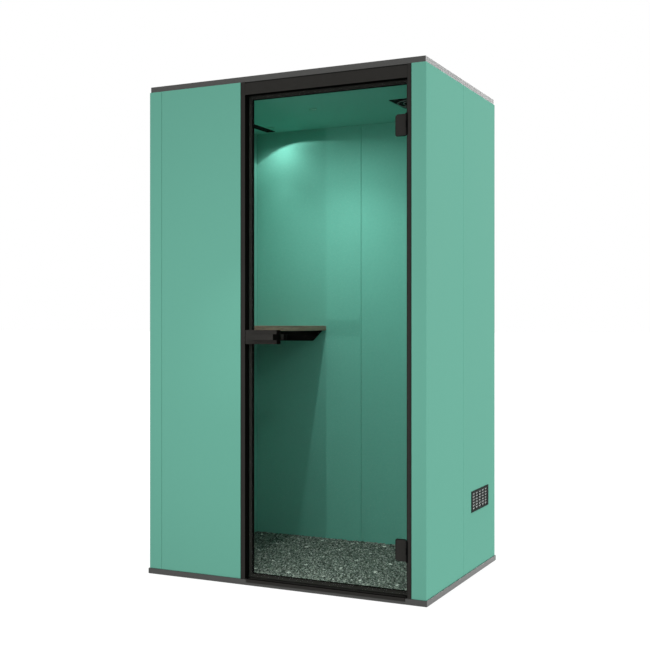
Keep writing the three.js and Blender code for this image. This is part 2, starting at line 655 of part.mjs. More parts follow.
// Standing desk on an angle bracket at each end
function buildDesk(pod) {
  const desk = groupAt(pod);
  const left = ROOM_LEFT + GAP;
  const underside = DESK_TOP - DESK_THICKNESS;
  board(desk, 'desk_top', WALNUT, [left, DESK_EDGE], [ROOM_FRONT + GAP, ROOM_BACK - GAP],
    [underside, DESK_TOP]);
  const top = underside - GAP;
  const bottom = top - BRACKET_TALL;
  const taper = BRACKET_TALL - BRACKET_PLATE / 2;
  const outline = [
    [left, bottom],
    [BRACKET_REACH - taper, bottom],
    [BRACKET_REACH, bottom + taper],
    [BRACKET_REACH, top],
    [left, top],
  ];
  const ends = {
    rear: [ROOM_BACK - GAP - BRACKET_PLATE, [ROOM_BACK - GAP - BRACKET_FLANGE, ROOM_BACK - GAP]],
    front: [ROOM_FRONT + GAP, [ROOM_FRONT + GAP, ROOM_FRONT + GAP + BRACKET_FLANGE]],
  };
  for (const [end, [plateY, flangeY]] of Object.entries(ends)) {
    piece(desk, `desk_bracket_${end}`, BLACK_STEEL, join(
      alongY(outline, BRACKET_PLATE).translate(0, plateY, 0),
      block([left, BRACKET_REACH], flangeY, [top - BRACKET_PLATE, top])));
  }
}

// A plate with rows of slots, in Y and Z about its centre, between x = 0 and its thickness
function slottedPlate() {
  const slots = [];
  for (const y of row(GRILLE_COLUMNS, SLOT_PITCH_Y)) {
    for (const z of row(GRILLE_ROWS, SLOT_PITCH_Z)) {
      slots.push(block([-OVERCUT, GRILLE_PLATE + OVERCUT], about(y, SLOT_WIDTH), about(z, SLOT_TALL)));
    }
  }
  return cut(block([0, GRILLE_PLATE], about(0, GRILLE_WIDTH), about(0, GRILLE_TALL)), ...slots);
}

function buildSideVent(pod) {
  const vent = groupAt(pod, 0, GRILLE_Y, GRILLE_Z);
  const outside = -LEFT + GAP;
  piece(vent, 'side_grille_outer', BLACK_ALUMINIUM, slottedPlate(), [outside, 0, 0]);
  piece(vent, 'side_grille_inner', BLACK_ALUMINIUM, slottedPlate(), [ROOM_RIGHT - GAP - GRILLE_PLATE, 0, 0]);
  const bore = rectangle(about(0, DUCT_WIDTH - 2 * DUCT_WALL), about(0, DUCT_TALL - 2 * DUCT_WALL));
  const duct = rectangle(about(0, DUCT_WIDTH), about(0, DUCT_TALL));
  piece(vent, 'side_duct', BRIGHT_STEEL, alongX(duct, SIDE_WALL, [bore]), [ROOM_RIGHT, 0, 0]);
}

function fanRotorGeometry([low, high]) {
  const tip = FAN_BORE - ROTOR_CLEARANCE;
  const root = FAN_HUB - BLADE_ROOT;
  const blades = [];
  for (let i = 0; i < FAN_BLADES; i += 1) {
    const blade = new THREE.BoxGeometry(tip - root, BLADE_CHORD, BLADE_THICKNESS);
    blade.rotateX(BLADE_PITCH).translate((tip + root) / 2, 0, (low + high) / 2);
    blades.push(blade.rotateZ((i / FAN_BLADES) * Math.PI * 2));
  }
  return join(roundBar(FAN_HUB, [low, high]), ...blades);
}

// Long air slot and fan unit in the ceiling
function buildCeilingVents(pod) {
  const slot = groupAt(pod, AIR_SLOT_X, 0, CEILING);
  const channelY = about(0, AIR_SLOT_LENGTH - 2 * AIR_SLOT_WALL);
  const channelZ = [-AIR_SLOT_DROP - OVERCUT, CEILING_BOARD - AIR_SLOT_ROOF];
  const channelWidth = AIR_SLOT_WIDTH / 2 - 2 * AIR_SLOT_WALL;
  const channels = row(2, AIR_SLOT_WIDTH / 2).map((x) => block(about(x, channelWidth), channelY, channelZ));
  piece(slot, 'ceiling_air_slot', BLACK_PLASTIC,
    cut(block(about(0, AIR_SLOT_WIDTH), about(0, AIR_SLOT_LENGTH), [-AIR_SLOT_DROP, CEILING_BOARD]),
      ...channels));

  const fan = groupAt(pod, FAN_X, FAN_Y, CEILING);
  const face = about(0, CEILING_GRILLE_SIZE);
  const opening = about(0, CEILING_GRILLE_SIZE - 2 * CEILING_GRILLE_RIM);
  const openings = row(CEILING_SLOTS, CEILING_SLOT_PITCH).map((y) => (
    block(opening, about(y, CEILING_SLOT), [-OVERCUT, CEILING_GRILLE_PLATE + OVERCUT])));
  piece(fan, 'ceiling_grille', BLACK_PLASTIC,
    cut(block(face, face, [0, CEILING_GRILLE_PLATE]), ...openings), [0, 0, -GAP - CEILING_GRILLE_PLATE]);

  const base = CEILING_BOARD + GAP;
  const top = base + FAN_HEIGHT;
  const strutZ = [base, base + FAN_STRUT];
  const square = about(0, FAN_SIZE);
  const strutLength = about(0, FAN_SIZE - 2 * OVERCUT);
  const strutWidth = about(0, FAN_STRUT_WIDTH);
  const body = cut(block(square, square, [base, top]), roundBar(FAN_BORE, [base - OVERCUT, top + OVERCUT]));
  piece(fan, 'fan_housing', BLACK_PLASTIC, join(body,
    block(strutLength, strutWidth, strutZ),
    block(strutWidth, strutLength, strutZ),
    roundBar(FAN_MOTOR, strutZ)));
  const rotorZ = [base + FAN_STRUT + ROTOR_CLEARANCE / 2, top - ROTOR_CLEARANCE];
  piece(fan, 'fan_rotor', BLACK_PLASTIC, fanRotorGeometry(rotorZ));
}

// A small flush downlight: flange, cone and can turned about its axis, and the opal lens inside it
function buildDownlight(pod, name, [x, y]) {
  const light = groupAt(pod, x, y, CEILING);
  const bottom = -GAP - LIGHT_RIM;
  const mouth = [LIGHT_LENS + LIGHT_FLARE, bottom];
  const seat = LIGHT_LENS_HIGH + GAP;
  const profile = [
    mouth,
    [LIGHT_FLANGE, bottom],
    [LIGHT_FLANGE, -GAP],
    [LIGHT_BODY, -GAP],
    [LIGHT_BODY, LIGHT_CAN],
    [0, LIGHT_CAN],
    [0, seat],
    [LIGHT_LENS + GAP, seat],
    [LIGHT_LENS + GAP, LIGHT_LENS_LOW],
    mouth,
  ];
  const geometry = new THREE.LatheGeometry(profile.map(([r, z]) => new THREE.Vector2(r, z)), ROUND);
  piece(light, `downlight_body_${name}`, GREEN_ALUMINIUM, geometry.rotateX(Math.PI / 2));
  piece(light, `downlight_lens_${name}`, OPAL, roundBar(LIGHT_LENS, [LIGHT_LENS_LOW, LIGHT_LENS_HIGH]));
}

function buildRoof(pod) {
  const roof = groupAt(pod);
  const through = [CEILING - OVERCUT, CEILING + CEILING_BOARD + OVERCUT];
  const panel = block([ROOM_LEFT + GAP, ROOM_RIGHT - GAP], [ROOM_FRONT + GAP, ROOM_BACK - GAP],
    [CEILING, CEILING + CEILING_BOARD]);
  const lightHoles = Object.values(DOWNLIGHTS).map(([x, y]) => roundBar(LIGHT_BODY + GAP, through, x, y));
  piece(roof, 'ceiling_panel', GREEN_FELT, cut(panel,
    block(about(AIR_SLOT_X, AIR_SLOT_WIDTH + 2 * GAP), about(0, AIR_SLOT_LENGTH + 2 * GAP), through),
    roundBar(FAN_BORE, through, FAN_X, FAN_Y), ...lightHoles));

  const roofX = about(0, WIDTH - 2 * ROOF_INSET);
  const roofY = about(0, DEPTH - 2 * ROOF_INSET);
  const slab = block(roofX, roofY, [ROOF_UNDERSIDE, HEIGHT]);
  const throughRoof = [ROOF_UNDERSIDE - OVERCUT, HEIGHT + OVERCUT];
  const exhaust = row(EXHAUST_SLOTS, EXHAUST_PITCH).map((y) => (
    block(about(FAN_X, 2 * FAN_BORE), about(FAN_Y + y, EXHAUST_SLOT), throughRoof)));
  const inletHole = block(about(INLET_X, INLET_WIDTH + 2 * GAP), about(INLET_Y, INLET_DEPTH + 2 * GAP),
    throughRoof);
  piece(roof, 'roof_slab', CHARCOAL_BOARD, cut(slab, inletHole, ...exhaust));

  const inlet = groupAt(roof, INLET_X, INLET_Y, HEIGHT);
  const bed = -INLET_DROP - INLET_RECESS;
  const pins = row(3, INLET_PIN_PITCH).map((x) => (
    block(about(x, INLET_PIN_WIDTH), about(0, INLET_PIN_DEPTH), [bed - OVERCUT, bed + INLET_PIN_TALL])));
  const recess = block(about(0, INLET_WIDTH - 2 * INLET_RIM_X), about(0, INLET_DEPTH - 2 * INLET_RIM_Y),
    [bed, 0]);
  const box = block(about(0, INLET_WIDTH), about(0, INLET_DEPTH),
    [CEILING + CEILING_BOARD + GAP - HEIGHT, -INLET_DROP]);
  piece(inlet, 'power_inlet', BLACK_PLASTIC, join(cut(box, recess), ...pins));
}

const pod = new THREE.Group();
buildBase(pod);
buildSideWalls(pod);
buildBackWall(pod);
buildFrontWall(pod);
buildRoof(pod);
for (const [name, place] of Object.entries(DOWNLIGHTS)) {
  buildDownlight(pod, name, place);
}
buildCeilingVents(pod);
buildSideVent(pod);
buildDoorFrame(pod);
buildDoor(pod);
buildDesk(pod);

export default pod;
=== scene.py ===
"""Looks of an acoustic office pod for one person, laid over its packed construction.

Lengths are metres in the construction's own frame: +Z up, the door towards -Y and the floor at zero. Each
sub-assembly is a class that holds its sizes and builds and dresses its pieces; main() runs them in order.
"""
import logging
import math
import random
from contextlib import contextmanager
from dataclasses import dataclass, field, replace
from enum import Enum
from typing import Callable, ClassVar, Iterator, Sequence

import bmesh
import bpy
from mathutils import Matrix, Vector


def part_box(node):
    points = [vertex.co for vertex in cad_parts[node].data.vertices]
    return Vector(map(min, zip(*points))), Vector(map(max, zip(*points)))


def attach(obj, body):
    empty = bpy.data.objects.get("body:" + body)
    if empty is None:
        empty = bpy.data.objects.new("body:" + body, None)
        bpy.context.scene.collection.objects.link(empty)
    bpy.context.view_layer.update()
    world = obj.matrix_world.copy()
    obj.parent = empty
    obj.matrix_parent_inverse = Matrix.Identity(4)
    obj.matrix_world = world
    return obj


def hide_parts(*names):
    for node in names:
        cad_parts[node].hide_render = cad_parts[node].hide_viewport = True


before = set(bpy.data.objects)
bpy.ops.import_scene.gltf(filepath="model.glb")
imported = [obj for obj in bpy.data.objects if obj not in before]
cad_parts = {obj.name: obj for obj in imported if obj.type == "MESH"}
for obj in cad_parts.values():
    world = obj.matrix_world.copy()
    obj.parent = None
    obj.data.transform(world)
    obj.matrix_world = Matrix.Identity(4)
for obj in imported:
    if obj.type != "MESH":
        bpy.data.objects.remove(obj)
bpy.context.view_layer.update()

LOG = logging.getLogger("pod")
MM = 0.001
FLUSH = 0.9  # a face counts as facing a direction when its normal is this close to it

Colour = tuple[float, float, float]
Socket = bpy.types.NodeSocket
Piece = bpy.types.Object


class Body(str, Enum):
    """The bodies that pieces ride on."""

    CABIN = "root"
    DOOR = "door"
    LEVER = "lever"


class Axis(Enum):
    """The direction of a round bar or of a row of things."""

    X = (1.0, 0.0, 0.0)
    Y = (0.0, 1.0, 0.0)
    Z = (0.0, 0.0, 1.0)

    @property
    def vector(self) -> Vector:
        """The axis as a vector."""
        return Vector(self.value)


def paint(red: int, green: int, blue: int) -> Colour:
    """Linear colour of a display colour.

    Args:
        red: red part, 0 to 255.
        green: green part, 0 to 255.
        blue: blue part, 0 to 255.

    Returns:
        The three linear parts, 0 to 1.
    """

    def linear(part: int) -> float:
        """One linear part of a display colour."""
        share = part / 255
        return share / 12.92 if share <= 0.04045 else ((share + 0.055) / 1.055) ** 2.4

    return linear(red), linear(green), linear(blue)


def shaded(tint: Colour, factor: float) -> Colour:
    """A colour made lighter or darker by a factor."""
    return tint[0] * factor, tint[1] * factor, tint[2] * factor


# Materials


class Recipe:
    """One material's node tree, put together a node at a time."""

    COLOUR_MIX: ClassVar[tuple[int, int, int]] = (0, 6, 7)
    COLOUR_RESULT: ClassVar[int] = 2

    def __init__(self, name: str) -> None:
        """Starts an empty tree that reads object coordinates.

        Args:
            name: name of the material.
        """
        self.material = bpy.data.materials.new(name)
        self.material.use_nodes = True
        self.tree = self.material.node_tree
        self.tree.nodes.clear()
        self.output = self.node("ShaderNodeOutputMaterial")
        coordinates = self.node("ShaderNodeTexCoord")
        self.place = coordinates.outputs["Object"]
        self.normal = coordinates.outputs["Normal"]

    def node(self, kind: str, inputs: dict | None = None, **settings: object) -> bpy.types.Node:
        """Adds a node.

        Args:
            kind: type of the node.
            inputs: values for its inputs by name or index; a socket is linked.
            settings: values for its own properties.

        Returns:
            The new node.
        """
        made = self.tree.nodes.new(kind)
        for key, value in settings.items():
            setattr(made, key, value)
        for key, value in (inputs or {}).items():
            if isinstance(value, Socket):
                self.tree.links.new(value, made.inputs[key])
            else:
                made.inputs[key].default_value = value
        return made

    def stretched(self, scale: Colour, turn: Colour = (0.0, 0.0, 0.0)) -> Socket:
        """Object coordinates scaled, and turned, along each axis."""
        return self.node(
            "ShaderNodeMapping", {"Vector": self.place, "Scale": scale, "Rotation": turn}
        ).outputs["Vector"]

    def noise(self, scale: float, detail: float = 2.0, where: Socket | None = None) -> Socket:
        """Cloudy noise.

        Args:
            scale: lumps to the metre.
            detail: layers of finer noise on top.
            where: coordinates to read instead of the object's own.

        Returns:
            A value from 0 to 1.
        """
        inputs = {"Vector": where or self.place, "Scale": scale, "Detail": detail}
        return self.node("ShaderNodeTexNoise", inputs).outputs["Fac"]

    def cells(self, scale: float, where: Socket | None = None) -> bpy.types.Node:
        """Cells about random points, with a colour for each cell and the distance to its point."""
        inputs = {"Vector": where or self.place, "Scale": scale}
        return self.node("ShaderNodeTexVoronoi", inputs)

    def ramp(self, value: Socket, stops: Sequence[tuple[float, Colour]]) -> Socket:
        """Colours along a value.

        Args:
            value: the value, 0 to 1.
            stops: places along it with their colours, in order.

        Returns:
            The colour at the value.
        """
        made = self.node("ShaderNodeValToRGB", {"Fac": value})
        elements = made.color_ramp.elements
        while len(elements) < len(stops):
            elements.new(1.0)
        for element, (place, colour) in zip(elements, stops):
            element.position = place
            element.color = (*colour, 1.0)
        return made.outputs["Color"]

    def spread(self, value: Socket, low: float, high: float, start: float = 0.0, end: float = 1.0) -> Socket:
        """A value from start to end spread over a new range, and held there beyond it."""
        inputs = {"Value": value, "From Min": start, "From Max": end, "To Min": low, "To Max": high}
        return self.node("ShaderNodeMapRange", inputs).outputs["Result"]

    def mix(self, share: Socket, first: Socket | Colour, second: Socket | Colour) -> Socket:
        """Two colours mixed by a share."""
        made = self.node("ShaderNodeMix", data_type="RGBA")
        for index, value in zip(self.COLOUR_MIX, (share, first, second)):
            if isinstance(value, Socket):
                self.tree.links.new(value, made.inputs[index])
            else:
                made.inputs[index].default_value = (*value, 1.0)
        return made.outputs[self.COLOUR_RESULT]

    def sum(self, first: Socket, second: Socket, operation: str = "ADD") -> Socket:
        """Two values added, or joined by another sum."""
        return self.node("ShaderNodeMath", {0: first, 1: second}, operation=operation).outputs[0]

    def vectors(self, operation: str, *values: Socket | Colour) -> bpy.types.Node:
        """Vectors joined by a sum."""
        return self.node("ShaderNodeVectorMath", dict(enumerate(values)), operation=operation)

    def relief(self, height: Socket, depth: float, strength: float = 1.0) -> Socket:
        """A surface's normal, roughened by a height of that depth in metres."""
        inputs = {"Height": height, "Distance": depth, "Strength": strength}
        return self.node("ShaderNodeBump", inputs).outputs["Normal"]

    def rubbed_edges(self, low: float = 0.52, high: float = 0.62) -> Socket:
        """How far a spot lies on a raised edge, from 0 to 1, broken up by noise."""
        raised = self.node("ShaderNodeNewGeometry").outputs["Pointiness"]
        return self.sum(self.spread(raised, 0.0, 1.0, low, high), self.noise(60.0, 4.0), "MULTIPLY")

    def turned_from(self, axis: Axis) -> Socket:
        """How far a spot faces away from an axis and its opposite, from 0 to 1."""
        along = self.node("ShaderNodeSeparateXYZ", {0: self.normal}).outputs[axis.name]
        size = self.node("ShaderNodeMath", {0: along}, operation="ABSOLUTE").outputs[0]
        return self.spread(size, 1.0, 0.0, 0.5, 0.85)

    def surface(self, **inputs: object) -> bpy.types.Node:
        """The shader of a solid surface, joined to the output.

        Args:
            inputs: values of its inputs, with underscores for spaces in their names.

        Returns:
            The shader's node.
        """
        values = {key.replace("_", " "): value for key, value in inputs.items()}
        for key, value in values.items():
            if isinstance(value, tuple) and len(value) == 3:
                values[key] = (*value, 1.0)
        shader = self.node("ShaderNodeBsdfPrincipled", values)
        self.tree.links.new(shader.outputs["BSDF"], self.output.inputs["Surface"])
        return shader


@dataclass(frozen=True)
class Finish:
    """What a surface is made of, and the record's slot that it belongs to."""

    name: str
    slot: str
    tint: Colour

    made: ClassVar[dict[str, bpy.types.Material]] = {}

    def material(self) -> bpy.types.Material:
        """The finish's material, mixed on first use."""
        if self.name not in Finish.made:
            recipe = Recipe(self.name)
            self.mix(recipe)
            Finish.made[self.name] = recipe.material
        return Finish.made[self.name]

    def mix(self, recipe: Recipe) -> None:
        """Puts the finish's nodes together; each kind of finish has its own."""
        raise NotImplementedError


@dataclass(frozen=True)
class Coating(Finish):
    """Lacquer, powder coat, laminate or moulded plastic: even colour with mottle, grain, rubbed edges and
    painted shade.
    """

    mottle: float = 0.05
    mottle_scale: float = 6.0
    grain_scale: float = 900.0
    grain: float = 0.00006
    roughness: tuple[float, float] = (0.5, 0.65)
    metallic: float = 0.0
    specular: float = 0.5
    rub: float = 1.5
    # Painted shade: a factor for faces turned away from ±Y, and an x beyond which everything takes it.
    reveal_shade: float = 1.0
    dull_top: float = 0.0
    shade_from_x: float = math.inf
    fade: float = 0.0005

    def mix(self, recipe: Recipe) -> None:
        """Mottled colour, lighter on rubbed edges, with painted shade on reveals and beyond a given x, and a
        fine grain in the relief.
        """
        cloud = recipe.noise(self.mottle_scale, 4.0)
        grain = recipe.noise(self.grain_scale, 3.0)
        flecked = recipe.mix(
            recipe.sum(cloud, grain, "MULTIPLY"),
            shaded(self.tint, 1 - self.mottle),
            shaded(self.tint, 1 + 3 * self.mottle),
        )
        colour = recipe.mix(recipe.rubbed_edges(), flecked, shaded(self.tint, self.rub))
        # Painted shade: faces that look sideways, up or down are darkened, standing in for the shade in
        # reveals.
        if self.reveal_shade < 1.0:
            colour = recipe.mix(recipe.turned_from(Axis.Y), colour, shaded(self.tint, self.reveal_shade))
        # Painted shade: beyond an x the colour goes as dark as the reveals, standing in for the shade round a
        # hinge pin.
        if self.shade_from_x < math.inf:
            across = recipe.node("ShaderNodeSeparateXYZ", {0: recipe.place}).outputs["X"]
            shade_beyond = recipe.spread(across, 0.0, 1.0, self.shade_from_x, self.shade_from_x + self.fade)
            colour = recipe.mix(shade_beyond, colour, shaded(self.tint, self.reveal_shade))
        roughness = recipe.spread(cloud, *self.roughness)
        if self.dull_top:
            dull = recipe.spread(recipe.turned_from(Axis.Z), self.dull_top, 0.0)
            roughness = recipe.sum(roughness, dull, "MAXIMUM")
        recipe.surface(
            Base_Color=colour,
            Roughness=roughness,
            Metallic=self.metallic,
            Specular_IOR_Level=self.specular,
            Normal=recipe.relief(grain, self.grain),
        )


@dataclass(frozen=True)
class Felt(Finish):
    """Pressed fibre board or batt: short fibres lying every way, with paler ones among them."""

    fibre: float = 420.0
    pale: float = 1.08
    dark: float = 0.9
    depth: float = 0.0002

    def mix(self, recipe: Recipe) -> None:
        """Two sets of crossing fibres over a soft mottle."""
        across = recipe.noise(self.fibre, 3.0, recipe.stretched((1.0, 0.25, 1.0), (0.3, 0.5, 0.7)))
        along = recipe.noise(self.fibre, 3.0, recipe.stretched((0.25, 1.0, 0.4), (0.9, 0.2, 0.4)))
        fibres = recipe.sum(across, along, "MULTIPLY")
        colour = recipe.ramp(
            fibres,
            [(0.1, shaded(self.tint, self.dark)), (0.25, self.tint), (0.45, shaded(self.tint, self.pale))],
        )
        shade = recipe.spread(recipe.noise(9.0), 0.0, 0.12)
        recipe.surface(
            Base_Color=recipe.mix(shade, colour, shaded(self.tint, 0.8)),
            Roughness=recipe.spread(fibres, 0.85, 1.0),
            Specular_IOR_Level=0.08,
            Sheen_Weight=0.04,
            Sheen_Roughness=0.5,
            Normal=recipe.relief(fibres, self.depth),
        )


@dataclass(frozen=True)
class BrushedSteel(Finish):
    """Bare steel with fine brush lines along one axis."""

    along: Axis = Axis.Z

    def mix(self, recipe: Recipe) -> None:
        """Noise drawn out along the brush lines."""
        scale = tuple(0.02 if part else 1.0 for part in self.along.value)
        lines = recipe.noise(1400.0, 4.0, recipe.stretched(scale))
        recipe.surface(
            Base_Color=recipe.mix(lines, shaded(self.tint, 0.75), shaded(self.tint, 1.2)),
            Metallic=1.0,
            Roughness=recipe.spread(lines, 0.25, 0.45),
            Normal=recipe.relief(lines, 0.00004),
        )


@dataclass(frozen=True)
class Walnut(Finish):
    """Oiled walnut veneer with its figure along Y."""

    dark: Colour = field(default_factory=lambda: paint(62, 46, 36))

    def mix(self, recipe: Recipe) -> None:
        """Wavering growth lines, streaks of pores and a soft sheen."""
        drift = recipe.noise(2.5, 3.0, recipe.stretched((1.0, 0.15, 1.0)))
        rings = recipe.node(
            "ShaderNodeTexWave",
            {"Vector": recipe.stretched((1.0, 0.08, 1.0)), "Scale": 22.0, "Distortion": 7.0, "Detail": 3.0},
        ).outputs["Fac"]
        pores = recipe.noise(700.0, 2.0, recipe.stretched((1.0, 0.03, 1.0)))
        figure = recipe.mix(rings, self.dark, self.tint)
        toned = recipe.mix(drift, figure, shaded(self.tint, 1.35))
        recipe.surface(
            Base_Color=recipe.mix(recipe.spread(pores, 0.55, 0.0, 0.3, 0.5), toned, shaded(self.dark, 0.6)),
            Roughness=recipe.spread(pores, 0.42, 0.6),
            Specular_IOR_Level=0.25,
            Normal=recipe.relief(pores, 0.0001),
        )


@dataclass(frozen=True)
class Plywood(Finish):
    """Birch plywood: pale face grain and thin plies at the edges."""

    ply: float = 0.0015

    def mix(self, recipe: Recipe) -> None:
        """Face grain along X over stripes of plies along Z."""
        grain = recipe.noise(160.0, 4.0, recipe.stretched((0.06, 1.0, 1.0)))
        plies = recipe.node(
            "ShaderNodeTexWave",
            {"Vector": recipe.place, "Scale": 0.05 / self.ply, "Distortion": 0.4},
            bands_direction="Z",
        ).outputs["Fac"]
        tone = recipe.mix(grain, shaded(self.tint, 0.7), shaded(self.tint, 1.15))
        recipe.surface(
            Base_Color=recipe.mix(recipe.spread(plies, 0.0, 0.4), tone, shaded(self.tint, 0.55)),
            Roughness=recipe.spread(grain, 0.6, 0.8),
            Specular_IOR_Level=0.2,
            Normal=recipe.relief(grain, 0.0002),
        )


@dataclass(frozen=True)
class FleckedPile(Finish):
    """Cut pile of grey-green yarns, pale and dark tufts mixed at random, with a pale fleck at each repeat."""

    pale: Colour = field(default_factory=lambda: paint(226, 232, 224))
    dark: Colour = field(default_factory=lambda: paint(26, 37, 31))
    tuft: float = 0.0085
    repeat: float = 0.178
    first_fleck: tuple[float, float] = (-0.022, 0.0)
    fleck: float = 0.011

    def mix(self, recipe: Recipe) -> None:
        """A random tone for each tuft, finer yarn ends inside it, painted shade between the tufts, and the
        flecks.
        """
        tufts = recipe.cells(1 / self.tuft)
        ends = recipe.cells(3 / self.tuft)
        tone = self.tone(recipe, tufts.outputs["Color"])
        fine = self.tone(recipe, ends.outputs["Color"])
        yarns = recipe.mix(recipe.noise(1.0 / self.tuft, 1.0), tone, fine)
        # Painted shade: darker towards each tuft's edge, for the shade that falls down between tufts.
        gap_shade = recipe.spread(tufts.outputs["Distance"], 0.0, 0.8, 0.35, 0.75)
        pile = recipe.mix(gap_shade, yarns, shaded(self.dark, 0.4))
        near = recipe.spread(self.from_fleck(recipe), 1.0, 0.0, self.fleck * 0.6, self.fleck)
        heights = recipe.sum(tufts.outputs["Distance"], ends.outputs["Distance"])
        recipe.surface(
            Base_Color=recipe.mix(near, pile, self.pale),
            Roughness=recipe.spread(ends.outputs["Distance"], 0.85, 1.0),
            Specular_IOR_Level=0.03,
            Normal=recipe.relief(heights, 0.002, 0.8),
        )

    def tone(self, recipe: Recipe, colour: Socket) -> Socket:
        """A yarn's tone from a cell's random colour."""
        value = recipe.node("ShaderNodeSeparateColor", {"Color": colour}).outputs["Red"]
        stops = [(0.0, self.dark), (0.4, shaded(self.tint, 0.5)), (0.7, self.tint), (1.0, self.pale)]
        return recipe.ramp(value, stops)

    def from_fleck(self, recipe: Recipe) -> Socket:
        """Distance in plan to the nearest fleck, in metres."""
        half = (self.repeat / 2, self.repeat / 2, 0.0)
        corner = (self.first_fleck[0] - half[0], self.first_fleck[1] - half[1], 0.0)
        step = (self.repeat, self.repeat, 1.0)
        flat = recipe.vectors("MULTIPLY", recipe.place, (1.0, 1.0, 0.0))
        moved = recipe.vectors("SUBTRACT", flat.outputs[0], corner)
        inside = recipe.vectors("WRAP", moved.outputs[0], step, (0.0, 0.0, 0.0))
        offset = recipe.vectors("SUBTRACT", inside.outputs[0], half)
        return recipe.vectors("LENGTH", offset.outputs[0]).outputs["Value"]


@dataclass(frozen=True)
class ClearGlass(Finish):
    """Toughened clear glass with a coating that keeps reflections low, green at its ground edges."""

    edge: Colour = field(default_factory=lambda: paint(36, 66, 56))
    index: float = 1.06

    def mix(self, recipe: Recipe) -> None:
        """Clear faces and tinted edges; lamps and bounced light pass straight through."""
        smear = recipe.noise(5.0, 4.0)
        shader = recipe.surface(
            Base_Color=recipe.mix(recipe.turned_from(Axis.Y), self.tint, self.edge),
            Roughness=recipe.spread(smear, 0.0, 0.012),
            IOR=self.index,
            Transmission_Weight=1.0,
        )
        path = recipe.node("ShaderNodeLightPath")
        passing = recipe.sum(path.outputs["Is Shadow Ray"], path.outputs["Is Diffuse Ray"], "MAXIMUM")
        clear = recipe.node("ShaderNodeBsdfTransparent", {"Color": (*self.tint, 1.0)})
        mixed = recipe.node(
            "ShaderNodeMixShader", {0: passing, 1: shader.outputs["BSDF"], 2: clear.outputs["BSDF"]}
        )
        recipe.tree.links.new(mixed.outputs["Shader"], recipe.output.inputs["Surface"])


@dataclass(frozen=True)
class OpalLens(Finish):
    """Frosted lens lit from behind, brighter at its prisms."""

    glow: float = 0.35

    def mix(self, recipe: Recipe) -> None:
        """Fine prisms in the relief and in the glow."""
        prisms = recipe.cells(420.0).outputs["Distance"]
        recipe.surface(
            Base_Color=recipe.mix(prisms, self.tint, shaded(self.tint, 0.8)),
            Roughness=recipe.spread(prisms, 0.3, 0.5),
            Emission_Color=recipe.mix(prisms, self.tint, shaded(self.tint, 0.7)),
            Emission_Strength=self.glow,
            Normal=recipe.relief(prisms, 0.0004),
        )


@dataclass(frozen=True)
class LinedWire(Finish):
    """Black wire rings about an upright axis, pale on their inner side."""

    centre: tuple[float, float] = (0.465, 0.012)
    black: Colour = field(default_factory=lambda: paint(24, 24, 24))

    def mix(self, recipe: Recipe) -> None:
        """Pale where a spot faces the axis, black elsewhere, broken up by noise along the edge between them."""
        axis = (*self.centre, 0.0)
        outwards = recipe.vectors("SUBTRACT", recipe.place, axis)
        facing = recipe.vectors("DOT_PRODUCT", outwards.outputs[0], recipe.normal).outputs["Value"]
        wire_noise = recipe.noise(300.0, 3.0)
        # Coloured pale on the side facing the axis, broken up by noise.
        inner = recipe.spread(facing, 1.0, 0.0, -0.02, -0.005)
        pale_side = recipe.sum(inner, recipe.spread(wire_noise, 0.7, 1.0), "MULTIPLY")
        recipe.surface(
            Base_Color=recipe.mix(pale_side, self.black, self.tint),
            Roughness=recipe.spread(wire_noise, 0.45, 0.6),
            Specular_IOR_Level=0.1,
            Normal=recipe.relief(wire_noise, 0.00005),
        )


@dataclass(frozen=True)
class WovenScreen(Finish):
    """Fine woven wire in two directions."""

    wire: float = 0.0012

    def mix(self, recipe: Recipe) -> None:
        """Bright crossing wires over dark openings."""
        bands = [
            recipe.node(
                "ShaderNodeTexWave",
                {"Vector": recipe.place, "Scale": 0.05 / self.wire},
                bands_direction=direction,
            ).outputs["Fac"]
            for direction in "YZ"
        ]
        weave = recipe.sum(*bands, "MAXIMUM")
        recipe.surface(
            Base_Color=recipe.mix(weave, shaded(self.tint, 0.6), shaded(self.tint, 1.2)),
            Metallic=0.0,
            Roughness=recipe.spread(weave, 0.55, 0.4),
            Specular_IOR_Level=0.4,
            Normal=recipe.relief(weave, 0.0003),
        )


GREEN = paint(108, 176, 156)
GREEN_LACQUER = Coating("green_lacquer", "green_board", GREEN, mottle=0.012, mottle_scale=2.0,
                        grain=0.00005, roughness=(0.62, 0.75), specular=0.02, rub=1.06)
GREEN_ENAMEL = Coating("green_enamel", "green_aluminium", GREEN, mottle=0.03, mottle_scale=40.0,
                       grain_scale=1300.0, roughness=(0.5, 0.62), specular=0.05, rub=1.1)
GREEN_FELT = Felt("green_felt", "green_felt", paint(107, 178, 162))
WOOL = Felt("wool_batting", "wool_core", paint(190, 182, 160), fibre=200.0, pale=1.25, dark=0.7, depth=0.002)
ROOF_LAMINATE = Coating("roof_laminate", "charcoal_board", paint(58, 58, 56), mottle=0.12,
                        mottle_scale=14.0, grain=0.00001, roughness=(0.4, 0.5), rub=1.4, dull_top=0.85)
PLINTH_LAMINATE = Coating("plinth_laminate", "charcoal_board", paint(58, 58, 56), mottle=0.12,
                          mottle_scale=14.0, grain=0.00001, roughness=(0.14, 0.2), rub=1.4)
# Frame and lock coat; faces turned away from ±Y carry painted shade at 0.12 of its colour.
BLACK_POWDER = Coating("black_powder_coat", "black_aluminium", paint(50, 49, 47), mottle=0.06,
                       mottle_scale=30.0, grain_scale=1300.0, grain=0.0001, roughness=(0.5, 0.65),
                       specular=0.0, rub=1.2, reveal_shade=0.12)
BLACK_VENT = Coating("black_vent_coat", "black_aluminium", paint(26, 34, 31), mottle=0.08, mottle_scale=40.0,
                     grain_scale=1300.0, grain=0.0001, roughness=(0.5, 0.65), specular=0.03, rub=1.2)
